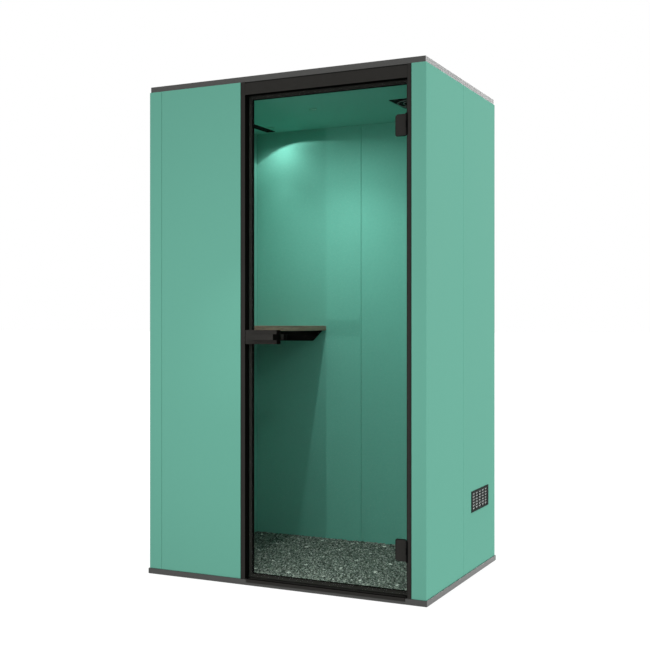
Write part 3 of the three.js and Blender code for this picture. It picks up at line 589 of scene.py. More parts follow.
# Faces turned away from ±Y carry painted shade at 0.15 of its colour.
BLACK_STEEL = Coating("black_steel", "black_steel", paint(47, 46, 44), mottle=0.08, mottle_scale=40.0,
                      grain_scale=1000.0, grain=0.00005, roughness=(0.4, 0.55), specular=0.04, rub=1.2,
                      reveal_shade=0.15)
# Painted shade: from 0.6 mm inside the pin's left side on in +x the hinge plate is as dark as its reveals, for
# the shaded knuckle.
HINGE_STEEL = replace(BLACK_STEEL, name="hinge_steel", shade_from_x=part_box("lower_hinge_pin")[0].x + 0.6 * MM)
JET_STEEL = Coating("jet_steel", "black_steel", paint(6, 6, 6), mottle=0.2, mottle_scale=30.0,
                    grain_scale=1000.0, grain=0.00005, roughness=(0.5, 0.65), specular=0.02, rub=1.5)
BLACK_PLASTIC = Coating("black_plastic", "black_plastic", paint(12, 12, 12), mottle=0.1, mottle_scale=20.0,
                        grain_scale=1600.0, grain=0.00012, roughness=(0.5, 0.65), specular=0.05, rub=1.5)
BLACK_RUBBER = Coating("black_rubber", "rubber", paint(50, 49, 47), mottle=0.2, mottle_scale=50.0,
                       grain_scale=600.0, grain=0.0001, roughness=(0.75, 0.9), specular=0.03, rub=1.5)
BRUSHED_STEEL = BrushedSteel("brushed_steel", "bright_steel", paint(186, 186, 183))
DOOR_GLASS = ClearGlass("door_glass_clear", "glass", paint(249, 252, 250))
DESK_WALNUT = Walnut("desk_walnut", "walnut", paint(142, 116, 102))
DECK_PLYWOOD = Plywood("deck_plywood", "plywood", paint(196, 170, 130))
CARPET_PILE = FleckedPile("carpet_pile", "carpet", paint(140, 156, 145))
OPAL = OpalLens("opal_lens", "opal", paint(250, 247, 240))
WIRE_SCREEN = WovenScreen("wire_screen", "bright_steel", paint(176, 181, 179))
GUARD_WIRE = LinedWire("guard_wire", "black_plastic", paint(158, 163, 160))


# Modelling by hand


class Bench:
    """Modelling on one mesh at a time, with primitives, edit-mode operators and modifiers."""

    @staticmethod
    def clear() -> None:
        """Leaves edit mode and selects nothing."""
        active = bpy.context.object
        if active is not None and active.mode != "OBJECT":
            bpy.ops.object.mode_set(mode="OBJECT")
        bpy.ops.object.select_all(action="DESELECT")

    @staticmethod
    def take(piece: Piece) -> Piece:
        """Makes a piece the only selected one."""
        Bench.clear()
        piece.select_set(True)
        bpy.context.view_layer.objects.active = piece
        return piece

    @staticmethod
    def named(name: str) -> Piece:
        """Names the primitive just added and puts its place and size into its mesh."""
        piece = bpy.context.object
        piece.name = name
        piece.data.name = name
        bpy.ops.object.transform_apply(location=True, rotation=True, scale=True)
        return piece

    @staticmethod
    def block(name: str, low: Sequence[float], high: Sequence[float]) -> Piece:
        """A block between two corners, to be shaped further.

        Args:
            name: name of the piece.
            low: lowest corner.
            high: highest corner.

        Returns:
            The block.
        """
        Bench.clear()
        low, high = Vector(low), Vector(high)
        bpy.ops.mesh.primitive_cube_add(size=1.0, location=(low + high) / 2)
        bpy.context.object.scale = high - low
        return Bench.named(name)

    @staticmethod
    def rod(name: str, radius: float, bottom: float, top: float, sides: int = 24) -> Piece:
        """A round bar on the Z axis, to be shaped further.

        Args:
            name: name of the piece.
            radius: its radius.
            bottom: its lower end.
            top: its upper end.
            sides: how many sides it has.

        Returns:
            The bar.
        """
        Bench.clear()
        bpy.ops.mesh.primitive_cylinder_add(
            vertices=sides, radius=radius, depth=top - bottom, location=(0.0, 0.0, (top + bottom) / 2)
        )
        return Bench.named(name)

    @staticmethod
    @contextmanager
    def faces(piece: Piece, pick: Callable[[bmesh.types.BMFace], bool]) -> Iterator[None]:
        """Edit mode with only some faces selected.

        Args:
            piece: the piece to edit.
            pick: says which faces.

        Yields:
            Nothing; operators run inside the with block.
        """
        Bench.take(piece)
        bpy.ops.object.mode_set(mode="EDIT")
        bpy.ops.mesh.select_mode(type="FACE")
        bpy.ops.mesh.select_all(action="DESELECT")
        mesh = bmesh.from_edit_mesh(piece.data)
        for face in mesh.faces:
            face.select_set(bool(pick(face)))
        mesh.select_flush_mode()
        bmesh.update_edit_mesh(piece.data)
        yield
        bpy.ops.object.mode_set(mode="OBJECT")

    @staticmethod
    @contextmanager
    def rims(piece: Piece) -> Iterator[None]:
        """Edit mode with only the open edges selected."""
        Bench.take(piece)
        bpy.ops.object.mode_set(mode="EDIT")
        bpy.ops.mesh.select_mode(type="EDGE")
        bpy.ops.mesh.select_all(action="DESELECT")
        mesh = bmesh.from_edit_mesh(piece.data)
        for edge in mesh.edges:
            edge.select_set(edge.is_boundary)
        bmesh.update_edit_mesh(piece.data)
        yield
        bpy.ops.object.mode_set(mode="OBJECT")

    @staticmethod
    def facing(axis: Axis, sign: int = 1) -> Callable[[bmesh.types.BMFace], bool]:
        """Picks the faces that face along an axis, or against it."""
        direction = axis.vector * sign
        return lambda face: face.normal.dot(direction) > FLUSH

    @staticmethod
    def everything(_: bmesh.types.BMFace) -> bool:
        """Picks every face."""
        return True

    @staticmethod
    def apply(piece: Piece, kind: str, **settings: object) -> None:
        """Adds a modifier and applies it.

        Args:
            piece: the piece to change.
            kind: type of the modifier.
            settings: values for its properties.
        """
        Bench.take(piece)
        modifier = piece.modifiers.new(kind.lower(), kind)
        for key, value in settings.items():
            setattr(modifier, key, value)
        bpy.ops.object.modifier_apply(modifier=modifier.name)

    @staticmethod
    def soften(piece: Piece, width: float, steps: int = 2, angle: float = 35.0) -> Piece:
        """Rounds the sharp edges of a new piece and shades it smooth.

        Args:
            piece: the piece to round.
            width: width of the rounding.
            steps: faces across it.
            angle: edges sharper than this, in degrees, are rounded.

        Returns:
            The same piece.
        """
        Bench.apply(piece, "BEVEL", width=width, segments=steps, limit_method="ANGLE",
                    angle_limit=math.radians(angle))
        bpy.ops.object.shade_smooth_by_angle(angle=math.radians(angle))
        return piece

    @staticmethod
    def ring(name: str, radius: float, width: float, height: float, steps: int = 48) -> Piece:
        """A ring on the Z axis, from z = 0 up: a small plate with rounded corners, spun about the axis.

        Args:
            name: name of the piece.
            radius: radius of the middle of its section.
            width: width of its section.
            height: height of its section.
            steps: how many steps it is spun in.

        Returns:
            The ring.
        """
        Bench.clear()
        bpy.ops.mesh.primitive_plane_add(
            size=1.0, location=(radius, 0.0, height / 2), rotation=(math.pi / 2, 0.0, 0.0)
        )
        bpy.context.object.scale = (width, height, 1.0)
        ring = Bench.named(name)
        with Bench.faces(ring, Bench.everything):
            bpy.ops.mesh.bevel(offset=min(width, height) * 0.35, segments=3, affect="VERTICES")
            bpy.ops.mesh.select_all(action="SELECT")
            bpy.ops.mesh.delete(type="ONLY_FACE")
            bpy.ops.mesh.select_all(action="SELECT")
            bpy.ops.mesh.spin(steps=steps, angle=math.tau, center=(0.0, 0.0, 0.0), axis=(0.0, 0.0, 1.0))
            bpy.ops.mesh.select_all(action="SELECT")
            bpy.ops.mesh.remove_doubles(threshold=1e-6)
            bpy.ops.mesh.normals_make_consistent(inside=False)
        bpy.ops.object.shade_smooth_by_angle(angle=math.radians(35.0))
        return ring

    @staticmethod
    def copy(master: Piece, name: str, place: Sequence[float], facing: Vector) -> Piece:
        """A copy with its own mesh, stood on a place.

        Args:
            master: the piece to copy, standing on z = 0 and rising along +Z.
            name: name of the copy.
            place: where the copy stands.
            facing: the way it rises.

        Returns:
            The copy.
        """
        turn = Vector((0.0, 0.0, 1.0)).rotation_difference(facing).to_matrix().to_4x4()
        mesh = master.data.copy()
        mesh.name = name
        mesh.transform(Matrix.Translation(Vector(place)) @ turn)
        made = bpy.data.objects.new(name, mesh)
        bpy.context.scene.collection.objects.link(made)
        return made

    @staticmethod
    def discard(piece: Piece) -> None:
        """Removes a master or a cutter."""
        bpy.data.objects.remove(piece, do_unlink=True)


def place_piece(piece: Piece, body: Body, finish: Finish) -> Piece:
    """Gives a new piece its finish and the body that it rides on.

    Args:
        piece: the new piece.
        body: the body it rides on.
        finish: what it is made of.

    Returns:
        The same piece.
    """
    piece.data.materials.clear()
    piece.data.materials.append(finish.material())
    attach(piece, body.value)
    LOG.info("piece %s on %s in %s", piece.name, body.value, finish.name)
    return piece


def dress(node: str, finish: Finish, edge: float = 0.0, steps: int = 2) -> None:
    """Gives a construction node its finish and, where it has sharp edges, a small rounding.

    Args:
        node: name of the node.
        finish: what it is made of.
        edge: width of the rounding, or 0 for none.
        steps: faces across the rounding.
    """
    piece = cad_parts[node]
    for slot in piece.material_slots:
        slot.material = finish.material()
    if edge:
        weld = piece.modifiers.new("weld", "WELD")
        weld.merge_threshold = 1e-5
        flats = piece.modifiers.new("flats", "DECIMATE")
        flats.decimate_type = "DISSOLVE"
        flats.angle_limit = math.radians(1.0)
        bevel = piece.modifiers.new("edges", "BEVEL")
        bevel.width = edge
        bevel.segments = steps
        bevel.limit_method = "ANGLE"
        bevel.angle_limit = math.radians(35.0)
        shading = piece.modifiers.new("shading", "WEIGHTED_NORMAL")
        shading.keep_sharp = False
    LOG.info("node %s in %s", node, finish.name)


@dataclass
class SocketScrew:
    """A button-headed screw with a hexagon socket, turned once and copied."""

    radius: float = 3.5 * MM
    height: float = 2.0 * MM
    socket: float = 1.7 * MM
    depth: float = 1.3 * MM

    def turn(self) -> Piece:
        """Turns the master: a bar, its top edge rounded, with a six-sided socket cut in.

        Returns:
            The master, standing on z = 0.
        """
        head = Bench.rod("screw_master", self.radius, 0.0, self.height)
        with Bench.faces(head, Bench.facing(Axis.Z)):
            bpy.ops.mesh.bevel(offset=self.height * 0.7, segments=4, affect="EDGES")
        key = Bench.rod("key_cutter", self.socket, self.height - self.depth, self.height * 2, sides=6)
        Bench.apply(head, "BOOLEAN", operation="DIFFERENCE", object=key)
        Bench.discard(key)
        Bench.take(head)
        bpy.ops.object.shade_smooth_by_angle(angle=math.radians(30.0))
        return head

    def drive(self, places: dict[str, Sequence[float]], facing: Vector, body: Body, finish: Finish) -> None:
        """Drives one screw at each place.

        Args:
            places: names and places of the screws.
            facing: the way their heads face.
            body: the body they ride on.
            finish: what they are made of.
        """
        master = self.turn()
        for name, place in places.items():
            place_piece(Bench.copy(master, name, place, facing), body, finish)
        Bench.discard(master)


# Sub-assemblies


@dataclass
class Base:
    """Plinth on rubber strips, plywood deck and fitted carpet."""

    carpet_pitch: float = 5.4 * MM
    backing: float = 2.0 * MM
    pile: tuple[float, float] = (1.6 * MM, 10.0 * MM)
    sway: float = 2.0 * MM
    seed: int = 11

    def build(self) -> None:
        """Dresses the plinth, strips and deck, and lays the carpet."""
        for side in ("left", "centre", "right"):
            dress(f"base_strip_{side}", BLACK_RUBBER, 0.6 * MM)
        dress("plinth", PLINTH_LAMINATE, 0.8 * MM)
        dress("floor_deck", DECK_PLYWOOD, 0.4 * MM)
        self.lay_carpet()

    def lay_carpet(self) -> None:
        """Lays the carpet: a backing grid with a skirt, each of its points raised to a tuft's own height."""
        low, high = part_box("carpet")
        size = high - low
        counts = [round(length / self.carpet_pitch) for length in (size.x, size.y)]
        Bench.clear()
        bpy.ops.mesh.primitive_grid_add(
            x_subdivisions=counts[0], y_subdivisions=counts[1], size=1.0,
            location=((low.x + high.x) / 2, (low.y + high.y) / 2, low.z + self.backing),
        )
        bpy.context.object.scale = (size.x, size.y, 1.0)
        carpet = Bench.named("carpet_pile")
        with Bench.rims(carpet):
            bpy.ops.mesh.extrude_region_move(TRANSFORM_OT_translate={"value": (0.0, 0.0, -self.backing)})
            bpy.ops.mesh.edge_face_add()
        with Bench.faces(carpet, Bench.everything):
            bpy.ops.mesh.normals_make_consistent(inside=False)
        chance = random.Random(self.seed)
        for point in carpet.data.vertices:
            rise = chance.uniform(*self.pile)
            shift = [chance.uniform(-self.sway, self.sway) for _ in range(2)]
            if point.co.z > low.z + self.backing / 2:
                point.co.z += rise
                point.co.x = min(max(point.co.x + shift[0], low.x), high.x)
                point.co.y = min(max(point.co.y + shift[1], low.y), high.y)
        place_piece(carpet, Body.CABIN, CARPET_PILE)
        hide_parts("carpet")


@dataclass
class Walls:
    """Lacquered outer boards, felt linings and the wool batts between them."""

    board_edge: float = 0.7 * MM
    liner_edge: float = 0.6 * MM
    batt_cuts: int = 14
    batt_dip: float = 2.0 * MM
    duct_clearance: float = 3.0 * MM

    def build(self) -> None:
        """Dresses the boards and linings, and fills the walls."""
        for side in ("left", "right"):
            for end in ("front", "rear"):
                dress(f"{side}_wall_board_{end}", GREEN_LACQUER, self.board_edge)
            dress(f"back_wall_board_{side}", GREEN_LACQUER, self.board_edge)
            dress(f"back_wall_liner_{side}", GREEN_FELT, self.liner_edge)
            dress(f"{side}_wall_liner", GREEN_FELT, self.liner_edge)
        dress("front_wall_board", GREEN_LACQUER, self.board_edge)
        dress("front_wall_liner", GREEN_FELT, self.liner_edge)
        for wall in ("left", "right", "back", "front"):
            self.fill(wall)

    def fill(self, wall: str) -> None:
        """Makes a wall's wool batt: a block, cut for the duct, with soft dips all over.

        Args:
            wall: which wall.
        """
        node = f"{wall}_wall_core"
        batt = Bench.block(f"{wall}_wall_batt", *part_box(node))
        with Bench.faces(batt, Bench.everything):
            bpy.ops.mesh.subdivide(number_cuts=self.batt_cuts)
        if wall == "right":
            low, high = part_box("side_duct")
            room = Vector((0.05, self.duct_clearance, self.duct_clearance))
            cutter = Bench.block("duct_cutter", low - room, high + room)
            Bench.apply(batt, "BOOLEAN", operation="DIFFERENCE", object=cutter)
            Bench.discard(cutter)
        lumps = bpy.data.textures.new("batt_lumps", "CLOUDS")
        lumps.noise_scale = 0.08
        Bench.apply(batt, "DISPLACE", texture=lumps, texture_coords="LOCAL", mid_level=1.0,
                    strength=self.batt_dip)
        place_piece(batt, Body.CABIN, WOOL)
        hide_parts(node)


@dataclass
class Roof:
    """Roof slab with its caps and exhaust screen, ceiling panel, downlights and power inlet."""

    cap_radius: float = 9.0 * MM
    cap_height: float = 1.2 * MM
    cap_inset: float = 33.5 * MM
    screen_margin: float = 6.0 * MM
    screen_thickness: float = 1.0 * MM
    screen_drop: float = 0.4 * MM
    bezel_width: float = 3.0 * MM
    bezel_height: float = 0.8 * MM

    def build(self) -> None:
        """Dresses the roof and ceiling and adds the small pieces on them."""
        dress("roof_slab", ROOF_LAMINATE, 0.8 * MM)
        dress("ceiling_panel", GREEN_FELT, 0.6 * MM)
        dress("power_inlet", BLACK_PLASTIC, 0.6 * MM)
        self.cap_fixings()
        self.screen_exhaust()
        for place in ("rear", "front"):
            dress(f"downlight_body_{place}", GREEN_ENAMEL)
            dress(f"downlight_lens_{place}", OPAL)
            self.rim_downlight(place)

    def cap_fixings(self) -> None:
        """Caps the roof's fixings over the side walls: low dished discs."""
        low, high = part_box("roof_slab")
        master = Bench.rod("cap_master", self.cap_radius, 0.0, self.cap_height, sides=32)
        with Bench.faces(master, Bench.facing(Axis.Z)):
            bpy.ops.mesh.bevel(offset=self.cap_height * 0.5, segments=3, affect="EDGES")
        with Bench.faces(master, Bench.facing(Axis.Z)):
            bpy.ops.mesh.inset(thickness=self.cap_radius * 0.25)
            bpy.ops.transform.translate(value=(0.0, 0.0, -self.cap_height * 0.3))
        bpy.ops.object.shade_smooth_by_angle(angle=math.radians(30.0))
        depths = [low.y + (high.y - low.y) * share for share in (0.1, 0.37, 0.63, 0.9)]
        for side, x in (("left", low.x + self.cap_inset), ("right", high.x - self.cap_inset)):
            for number, y in enumerate(depths, 1):
                cap = Bench.copy(master, f"roof_cap_{side}_{number}", (x, y, high.z), Axis.Z.vector)
                place_piece(cap, Body.CABIN, BLACK_PLASTIC)
        Bench.discard(master)

    def screen_exhaust(self) -> None:
        """Hangs a woven screen in a folded rim under the exhaust slots."""
        low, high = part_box("fan_housing")
        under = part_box("roof_slab")[0].z - self.screen_drop
        margin = Vector((self.screen_margin, self.screen_margin, 0.0))
        bottom = Vector((low.x, low.y, under - self.screen_thickness)) - margin
        top = Vector((high.x, high.y, under)) + margin
        screen = Bench.block("exhaust_screen", bottom, top)
        with Bench.faces(screen, Bench.facing(Axis.Z, -1)):
            bpy.ops.mesh.inset(thickness=self.screen_margin)
            bpy.ops.transform.translate(value=(0.0, 0.0, self.screen_thickness * 0.4))
        place_piece(Bench.soften(screen, 0.2 * MM), Body.CABIN, WIRE_SCREEN)

    def rim_downlight(self, place: str) -> None:
        """Rims a downlight with a rounded bezel under its flange.

        Args:
            place: which downlight.
        """
        low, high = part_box(f"downlight_body_{place}")
        centre = (low + high) / 2
        radius = (high.x - low.x) / 2 - self.bezel_width / 2
        master = Bench.ring("bezel_master", radius, self.bezel_width, self.bezel_height)
        bezel = Bench.copy(master, f"downlight_bezel_{place}", (centre.x, centre.y, low.z), -Axis.Z.vector)
        Bench.discard(master)
        place_piece(bezel, Body.CABIN, GREEN_ENAMEL)


@dataclass
class Ventilation:
    """Side grilles with their duct and insect screen, ceiling grille, air slot and fan."""

    screen_thickness: float = 2.0 * MM
    screen_gap: float = 1.2 * MM
    screw_inset_y: float = 8.0 * MM
    screw_inset_z: float = 5.5 * MM
    guard_radii: tuple[float, ...] = (36.0 * MM, 64.0 * MM, 92.0 * MM)
    guard_wire: float = 2.5 * MM
    guard_depth: float = 4.5 * MM

    def build(self) -> None:
        """Dresses the air path and adds its screen, guard and screws."""
        for place in ("outer", "inner"):
            dress(f"side_grille_{place}", BLACK_VENT, 0.3 * MM)
        dress("side_duct", BRUSHED_STEEL, 0.3 * MM)
        dress("ceiling_grille", BLACK_PLASTIC, 0.5 * MM)
        dress("ceiling_air_slot", BLACK_PLASTIC, 0.6 * MM)
        dress("fan_housing", BLACK_PLASTIC, 0.8 * MM)
        dress("fan_rotor", BLACK_PLASTIC, 0.4 * MM)
        self.screen_duct()
        self.guard_fan()
        self.screw_grilles()

    def guard_fan(self) -> None:
        """Hangs the fan guard under the ceiling grille: round wires one inside another."""
        low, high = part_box("ceiling_grille")
        centre = (low + high) / 2
        for number, radius in enumerate(self.guard_radii, 1):
            master = Bench.ring("wire_master", radius, self.guard_wire, self.guard_depth, steps=64)
            wire = Bench.copy(master, f"fan_guard_wire_{number}", (centre.x, centre.y, low.z), -Axis.Z.vector)
            Bench.discard(master)
            place_piece(wire, Body.CABIN, GUARD_WIRE)

    def screen_duct(self) -> None:
        """Sets a pale woven insect screen, folded at its rim, in the duct behind the outer grille."""
        low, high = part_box("side_duct")
        wall = 2.6 * MM
        outer = high.x - self.screen_gap
        screen = Bench.block(
            "side_insect_screen",
            (outer - self.screen_thickness, low.y + wall, low.z + wall),
            (outer, high.y - wall, high.z - wall),
        )
        with Bench.faces(screen, Bench.facing(Axis.X)):
            bpy.ops.mesh.inset(thickness=3.0 * MM)
            bpy.ops.transform.translate(value=(-self.screen_thickness * 0.5, 0.0, 0.0))
        place_piece(Bench.soften(screen, 0.3 * MM), Body.CABIN, WIRE_SCREEN)

    def screw_grilles(self) -> None:
        """Screws the side grilles and the ceiling grille at their corners."""
        small = SocketScrew(2.6 * MM, 1.2 * MM, 1.3 * MM, 0.8 * MM)
        for place, sign in (("outer", 1), ("inner", -1)):
            low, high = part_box(f"side_grille_{place}")
            x = high.x if sign > 0 else low.x
            corners = {
                f"side_grille_{place}_screw_{number}": (x, y, z)
                for number, (y, z) in enumerate(
                    (y, z)
                    for y in (low.y + self.screw_inset_y, high.y - self.screw_inset_y)
                    for z in (low.z + self.screw_inset_z, high.z - self.screw_inset_z)
                )
            }
            small.drive(corners, Axis.X.vector * sign, Body.CABIN, BLACK_STEEL)
        low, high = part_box("ceiling_grille")
        inset = self.screw_inset_y
        corners = {
            f"ceiling_grille_screw_{number}": (x, y, low.z)
            for number, (x, y) in enumerate(
                (x, y) for x in (low.x + inset, high.x - inset) for y in (low.y + inset, high.y - inset)
            )
        }
        small.drive(corners, -Axis.Z.vector, Body.CABIN, BLACK_STEEL)


@dataclass
class DoorFrame:
    """Jambs, header, ribbed sill, seal and strike plate."""

    rib_count: int = 3
    rib_pitch: float = 8.0 * MM
    rib_width: float = 2.4 * MM
    rib_height: float = 1.0 * MM
    rib_inset: float = 9.0 * MM

    def build(self) -> None:
        """Dresses the frame and ribs its sill."""
        for node in ("left_jamb", "right_jamb", "header", "sill"):
            dress(node, BLACK_POWDER, 0.7 * MM)
        dress("door_seal", BLACK_RUBBER, 0.9 * MM, 3)
        dress("strike_plate", BRUSHED_STEEL, 0.3 * MM)
        self.rib_sill()

    def rib_sill(self) -> None:
        """Lays low ribs along the sill's flat, each with rounded shoulders."""
        low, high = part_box("sill")
        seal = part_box("door_seal")[0]
        flat = seal.z - 1.5 * MM
        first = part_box("left_jamb")[0].y + self.rib_inset
        for number in range(self.rib_count):
            y = first + number * self.rib_pitch
            rib = Bench.block(
                f"sill_rib_{number + 1}",
                (low.x + 12 * MM, y - self.rib_width / 2, flat),
                (high.x - 12 * MM, y + self.rib_width / 2, flat + self.rib_height),
            )
            with Bench.faces(rib, Bench.facing(Axis.Z)):
                bpy.ops.mesh.bevel(offset=self.rib_height * 0.6, segments=3, affect="EDGES")
            bpy.ops.object.shade_smooth_by_angle(angle=math.radians(40.0))
            place_piece(rib, Body.CABIN, BLACK_POWDER)


@dataclass
class DoorLeaf:
    """Glass leaf on two clamp hinges."""

    screw_spread: float = 24.0 * MM
    lip_width: float = 3.0 * MM
    lip_thickness: float = 0.8 * MM

    def build(self) -> None:
        """Dresses the glass and the hinges, folds their lips and screws their inner plates."""
        dress("door_glass", DOOR_GLASS)
        clamp = SocketScrew(5.0 * MM, 2.6 * MM, 2.4 * MM, 1.6 * MM)
        for place in ("lower", "upper"):
            dress(f"{place}_hinge_outer_plate", HINGE_STEEL, 0.8 * MM)
            dress(f"{place}_hinge_inner_plate", BLACK_STEEL, 0.8 * MM)
            dress(f"{place}_hinge_jamb_leaf", JET_STEEL, 0.4 * MM)
            dress(f"{place}_hinge_pin", JET_STEEL, 0.3 * MM)
            self.fold_lip(place)
            low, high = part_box(f"{place}_hinge_inner_plate")
            middle = (low + high) / 2
            screws = {
                f"{place}_hinge_screw_{number}": (middle.x, high.y, middle.z + offset)
                for number, offset in enumerate((-self.screw_spread, self.screw_spread), 1)
            }
            clamp.drive(screws, Axis.Y.vector, Body.DOOR, BLACK_STEEL)

    def fold_lip(self, place: str) -> None:
        """Folds the lip of a jamb leaf over the jamb's face: a strip with rounded corners and edges.

        Args:
            place: which hinge.
        """
        low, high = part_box(f"{place}_hinge_jamb_leaf")
        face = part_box("right_jamb")[0].y
        lip = Bench.block(
            f"{place}_hinge_leaf_lip",
            (high.x, face - self.lip_thickness, low.z),
            (high.x + self.lip_width, face, high.z),
        )
        with Bench.faces(lip, Bench.facing(Axis.X)):
            bpy.ops.mesh.bevel(offset=self.lip_thickness * 0.7, segments=2, affect="EDGES")
        place_piece(Bench.soften(lip, 0.15 * MM), Body.CABIN, JET_STEEL)


@dataclass
class Lock:
    """Lock case on both faces of the glass, latch bolt and levers."""

    rose_width: float = 5.0 * MM
    rose_height: float = 2.4 * MM
    rose_gap: float = 0.8 * MM
    screw_inset: float = 9.0 * MM

    def build(self) -> None:
        """Dresses the lock and adds its roses and case screws."""
        for node in ("lock_outer_case", "lock_inner_case"):
            dress(node, BLACK_POWDER, 1.0 * MM, 3)
        for node in ("outer_lever", "inner_lever"):
            dress(node, BLACK_POWDER, 1.4 * MM, 3)
        dress("latch_bolt", BRUSHED_STEEL, 0.8 * MM)
        dress("lever_spindle", BRUSHED_STEEL, 0.4 * MM)
        self.fit_roses()
        self.screw_case()

    def fit_roses(self) -> None:
        """Fits a rounded rose round each lever's hub."""
        spindle_low, spindle_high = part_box("lever_spindle")
        centre = (spindle_low + spindle_high) / 2
        hub = 11.0 * MM
        master = Bench.ring("rose_master", hub + self.rose_gap + self.rose_width / 2,
                            self.rose_width, self.rose_height)
        for place, sign in (("outer", -1), ("inner", 1)):
            low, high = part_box(f"lock_{place}_case")
            y = low.y if sign < 0 else high.y
            rose = Bench.copy(master, f"lock_rose_{place}", (centre.x, y, centre.z), Axis.Y.vector * sign)
            place_piece(rose, Body.DOOR, BLACK_POWDER)
        Bench.discard(master)

    def screw_case(self) -> None:
        """Screws the inner case through the glass at its corners."""
        low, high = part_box("lock_inner_case")
        corners = {
            f"lock_case_screw_{number}": (x, high.y, z)
            for number, (x, z) in enumerate(
                (x, z)
                for x in (low.x + self.screw_inset, high.x - self.screw_inset)
                for z in (low.z + self.screw_inset, high.z - self.screw_inset)
            )
        }
        SocketScrew().drive(corners, Axis.Y.vector, Body.DOOR, BLACK_STEEL)


@dataclass
class Desk:
    """Walnut standing desk on two angle brackets."""

    bolt_shares: tuple[float, ...] = (0.15, 0.45, 0.75)
    bolt_drop: float = 30.0 * MM
    plate: float = 5.0 * MM

    def build(self) -> None:
        """Dresses the desk and bolts its brackets to the walls."""
        dress("desk_top", DESK_WALNUT, 1.2 * MM, 3)
        bolt = SocketScrew(5.5 * MM, 3.0 * MM, 2.6 * MM, 1.8 * MM)
        for place, sign in (("rear", -1), ("front", 1)):
            node = f"desk_bracket_{place}"
            dress(node, JET_STEEL, 0.6 * MM)
            low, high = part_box(node)
            y = high.y - self.plate if sign < 0 else low.y + self.plate
            bolts = {
                f"{node}_bolt_{number}": (low.x + (high.x - low.x) * share, y, high.z - self.bolt_drop)
                for number, share in enumerate(self.bolt_shares, 1)
            }
            bolt.drive(bolts, Axis.Y.vector * sign, Body.CABIN, JET_STEEL)


@dataclass(frozen=True)
class Beam:
    """One part of a downlight's beam: power, half angle, how soft its edge is, and how it leans."""

    place: str
    power: float
    half_angle: float
    softness: float
    lean_x: float = 0.0
    lean_y: float = 0.0


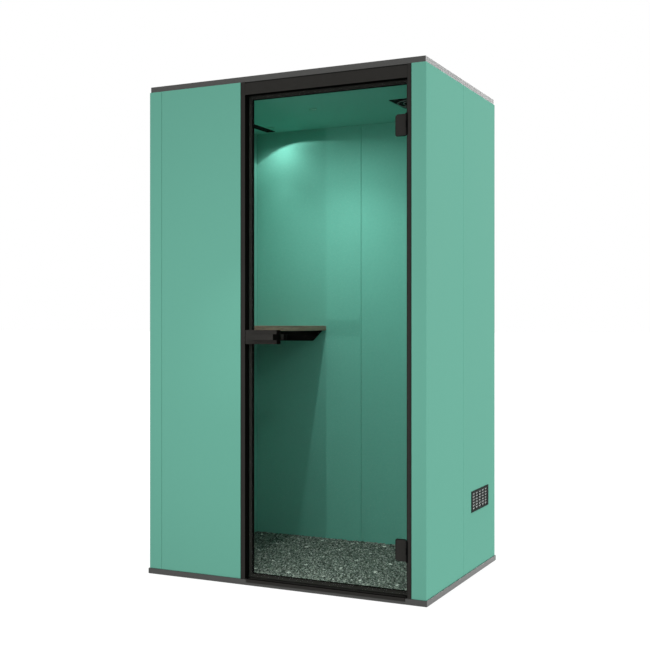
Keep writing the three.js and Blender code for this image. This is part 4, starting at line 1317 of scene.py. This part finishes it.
@dataclass
class Studio:
    """Pale floor, white surroundings, soft lamps and the camera."""

    camera_place: Vector = field(default_factory=lambda: Vector((2.2317, -4.6406, 1.1756)))
    camera_yaw: float = 25.786
    lens: float = 58.6
    floor_size: float = 300.0
    floor_pale: float = 0.3
    floor_glow: float = 0.78
    sky: float = 1.075
    ground: float = 0.37
    beam_drop: float = 10.0 * MM
    beams: tuple[Beam, ...] = (
        Beam("rear", 1.75, 70.5, 0.06, 14.5, -5.5),
        Beam("rear", 2.2, 70.0, 1.0),
        Beam("rear", 5.0, 32.0, 1.0),
        Beam("front", 13.6, 90.0, 1.0),
        Beam("front", 20.0, 62.0, 1.0),
        Beam("front", 3.0, 40.0, 1.0),
    )

    def build(self) -> None:
        """Sets the stage, the lamps and the camera."""
        scene = bpy.context.scene
        scene.view_settings.view_transform = "Standard"
        self.white_surroundings(scene)
        self.lay_floor()
        self.hang_lamps()
        self.light_downlights()
        self.set_camera(scene)

    def seen(self, tree: bpy.types.NodeTree) -> Socket:
        """Whether a ray comes from the camera, or by way of a mirror or glass."""
        path = tree.nodes.new("ShaderNodeLightPath")
        result = path.outputs["Is Camera Ray"]
        for name in ("Is Glossy Ray", "Is Transmission Ray"):
            either = tree.nodes.new("ShaderNodeMath")
            either.operation = "MAXIMUM"
            tree.links.new(result, either.inputs[0])
            tree.links.new(path.outputs[name], either.inputs[1])
            result = either.outputs[0]
        return result

    def white_surroundings(self, scene: bpy.types.Scene) -> None:
        """A world that looks white and lights the object evenly at a plain level.

        Args:
            scene: the scene to give the world to.
        """
        world = bpy.data.worlds.new("surroundings")
        scene.world = world
        world.use_nodes = True
        tree = world.node_tree
        background = tree.nodes["Background"]
        level = tree.nodes.new("ShaderNodeMapRange")
        level.inputs["To Min"].default_value = self.sky
        level.inputs["To Max"].default_value = 1.0
        tree.links.new(self.seen(tree), level.inputs["Value"])
        background.inputs["Color"].default_value = (1.0, 1.0, 1.0, 1.0)
        tree.links.new(level.outputs["Result"], background.inputs["Strength"])

    def lay_floor(self) -> None:
        """Lays a pale floor as bright as the surroundings, which keeps the object's shadow."""
        Bench.clear()
        bpy.ops.mesh.primitive_plane_add(size=self.floor_size, location=(0.0, 0.0, 0.0))
        floor = Bench.named("studio_floor")
        recipe = Recipe("pale_floor")
        white = (1.0, 1.0, 1.0, 1.0)
        pale = recipe.node("ShaderNodeBsdfDiffuse", {"Color": (self.floor_pale,) * 3 + (1.0,)})
        glow = recipe.node("ShaderNodeEmission", {"Color": white, "Strength": self.floor_glow})
        soft = recipe.node("ShaderNodeEmission", {"Color": white, "Strength": self.ground})
        both = recipe.node("ShaderNodeAddShader", {0: pale.outputs[0], 1: glow.outputs[0]})
        mixed = recipe.node(
            "ShaderNodeMixShader", {0: self.seen(recipe.tree), 1: soft.outputs[0], 2: both.outputs[0]}
        )
        recipe.tree.links.new(mixed.outputs[0], recipe.output.inputs["Surface"])
        floor.data.materials.append(recipe.material)

    def lamp(
        self, name: str, kind: str, energy: float, place: Vector, aim: Vector, **settings: object
    ) -> None:
        """Hangs a lamp.

        Args:
            name: name of the lamp.
            kind: type of the lamp.
            energy: its power in watts, or a sun's strength.
            place: where it hangs.
            aim: the way it shines.
            settings: values for its own properties.
        """
        light = bpy.data.lights.new(name, kind)
        light.energy = energy
        for key, value in settings.items():
            setattr(light, key, value)
        lamp = bpy.data.objects.new(name, light)
        lamp.location = place
        lamp.rotation_euler = aim.to_track_quat("-Z", "Y").to_euler()
        lamp.visible_camera = False
        lamp.visible_transmission = False
        bpy.context.scene.collection.objects.link(lamp)

    def hang_lamps(self) -> None:
        """Two lamps before the door, and soft light from the right, above, the back right and the back left."""
        self.lamp("door_lamp", "SPOT", 42.0, Vector((-0.015, -2.97, 1.02)), Vector((0.0, 1.0, 0.02)),
                  shadow_soft_size=0.016, spot_size=math.radians(68.0), spot_blend=1.0)
        self.lamp("side_light", "SUN", 0.72, Vector((4.0, 0.0, 2.0)), Vector((-1.0, 0.02, -0.1)),
                  angle=math.radians(25.0))
        self.lamp("rim_light", "SUN", 0.68, Vector((3.0, 6.0, 2.0)), Vector((-0.435, -0.885, -0.17)),
                  angle=math.radians(20.0))
        self.lamp("top_light", "SUN", 0.5, Vector((0.0, -2.0, 6.0)), Vector((0.0, 0.242, -0.97)),
                  angle=math.radians(30.0))
        self.lamp("back_fill", "SUN", 0.15, Vector((-4.0, 4.0, 3.0)), Vector((0.7, -0.7, -0.35)),
                  angle=math.radians(40.0))
        self.lamp("low_fill", "SPOT", 10.0, Vector((0.75, -1.6, 1.76)), Vector((-1.47, 2.03, -1.08)),
                  shadow_soft_size=0.03, spot_size=math.radians(28.0), spot_blend=1.0)

    def light_downlights(self) -> None:
        """Lights the pod's downlights, each by the parts of its beam."""
        for number, beam in enumerate(self.beams, 1):
            low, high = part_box(f"downlight_body_{beam.place}")
            centre = (low + high) / 2
            aim = Vector((math.tan(math.radians(beam.lean_x)), math.tan(math.radians(beam.lean_y)), -1.0))
            self.lamp(f"downlight_{beam.place}_{number}", "SPOT", beam.power,
                      Vector((centre.x, centre.y, low.z - self.beam_drop)), aim, shadow_soft_size=0.006,
                      spot_size=math.radians(2 * beam.half_angle), spot_blend=beam.softness)

    def set_camera(self, scene: bpy.types.Scene) -> None:
        """Stands the camera at eye level to the right of the door.

        Args:
            scene: the scene to give the camera to.
        """
        data = bpy.data.cameras.new("camera")
        data.lens = self.lens
        camera = bpy.data.objects.new("camera", data)
        camera.location = self.camera_place
        camera.rotation_euler = (math.pi / 2, 0.0, math.radians(self.camera_yaw))
        scene.collection.objects.link(camera)
        scene.camera = camera


def main() -> None:
    """Builds the studio and every sub-assembly, in order."""
    logging.basicConfig(level=logging.INFO, format="%(name)s: %(message)s")
    for part in (Studio(), Base(), Walls(), Roof(), Ventilation(), DoorFrame(), DoorLeaf(), Lock(), Desk()):
        LOG.info("building %s", type(part).__name__)
        part.build()
    Bench.clear()


if __name__ == "__main__":
    main()
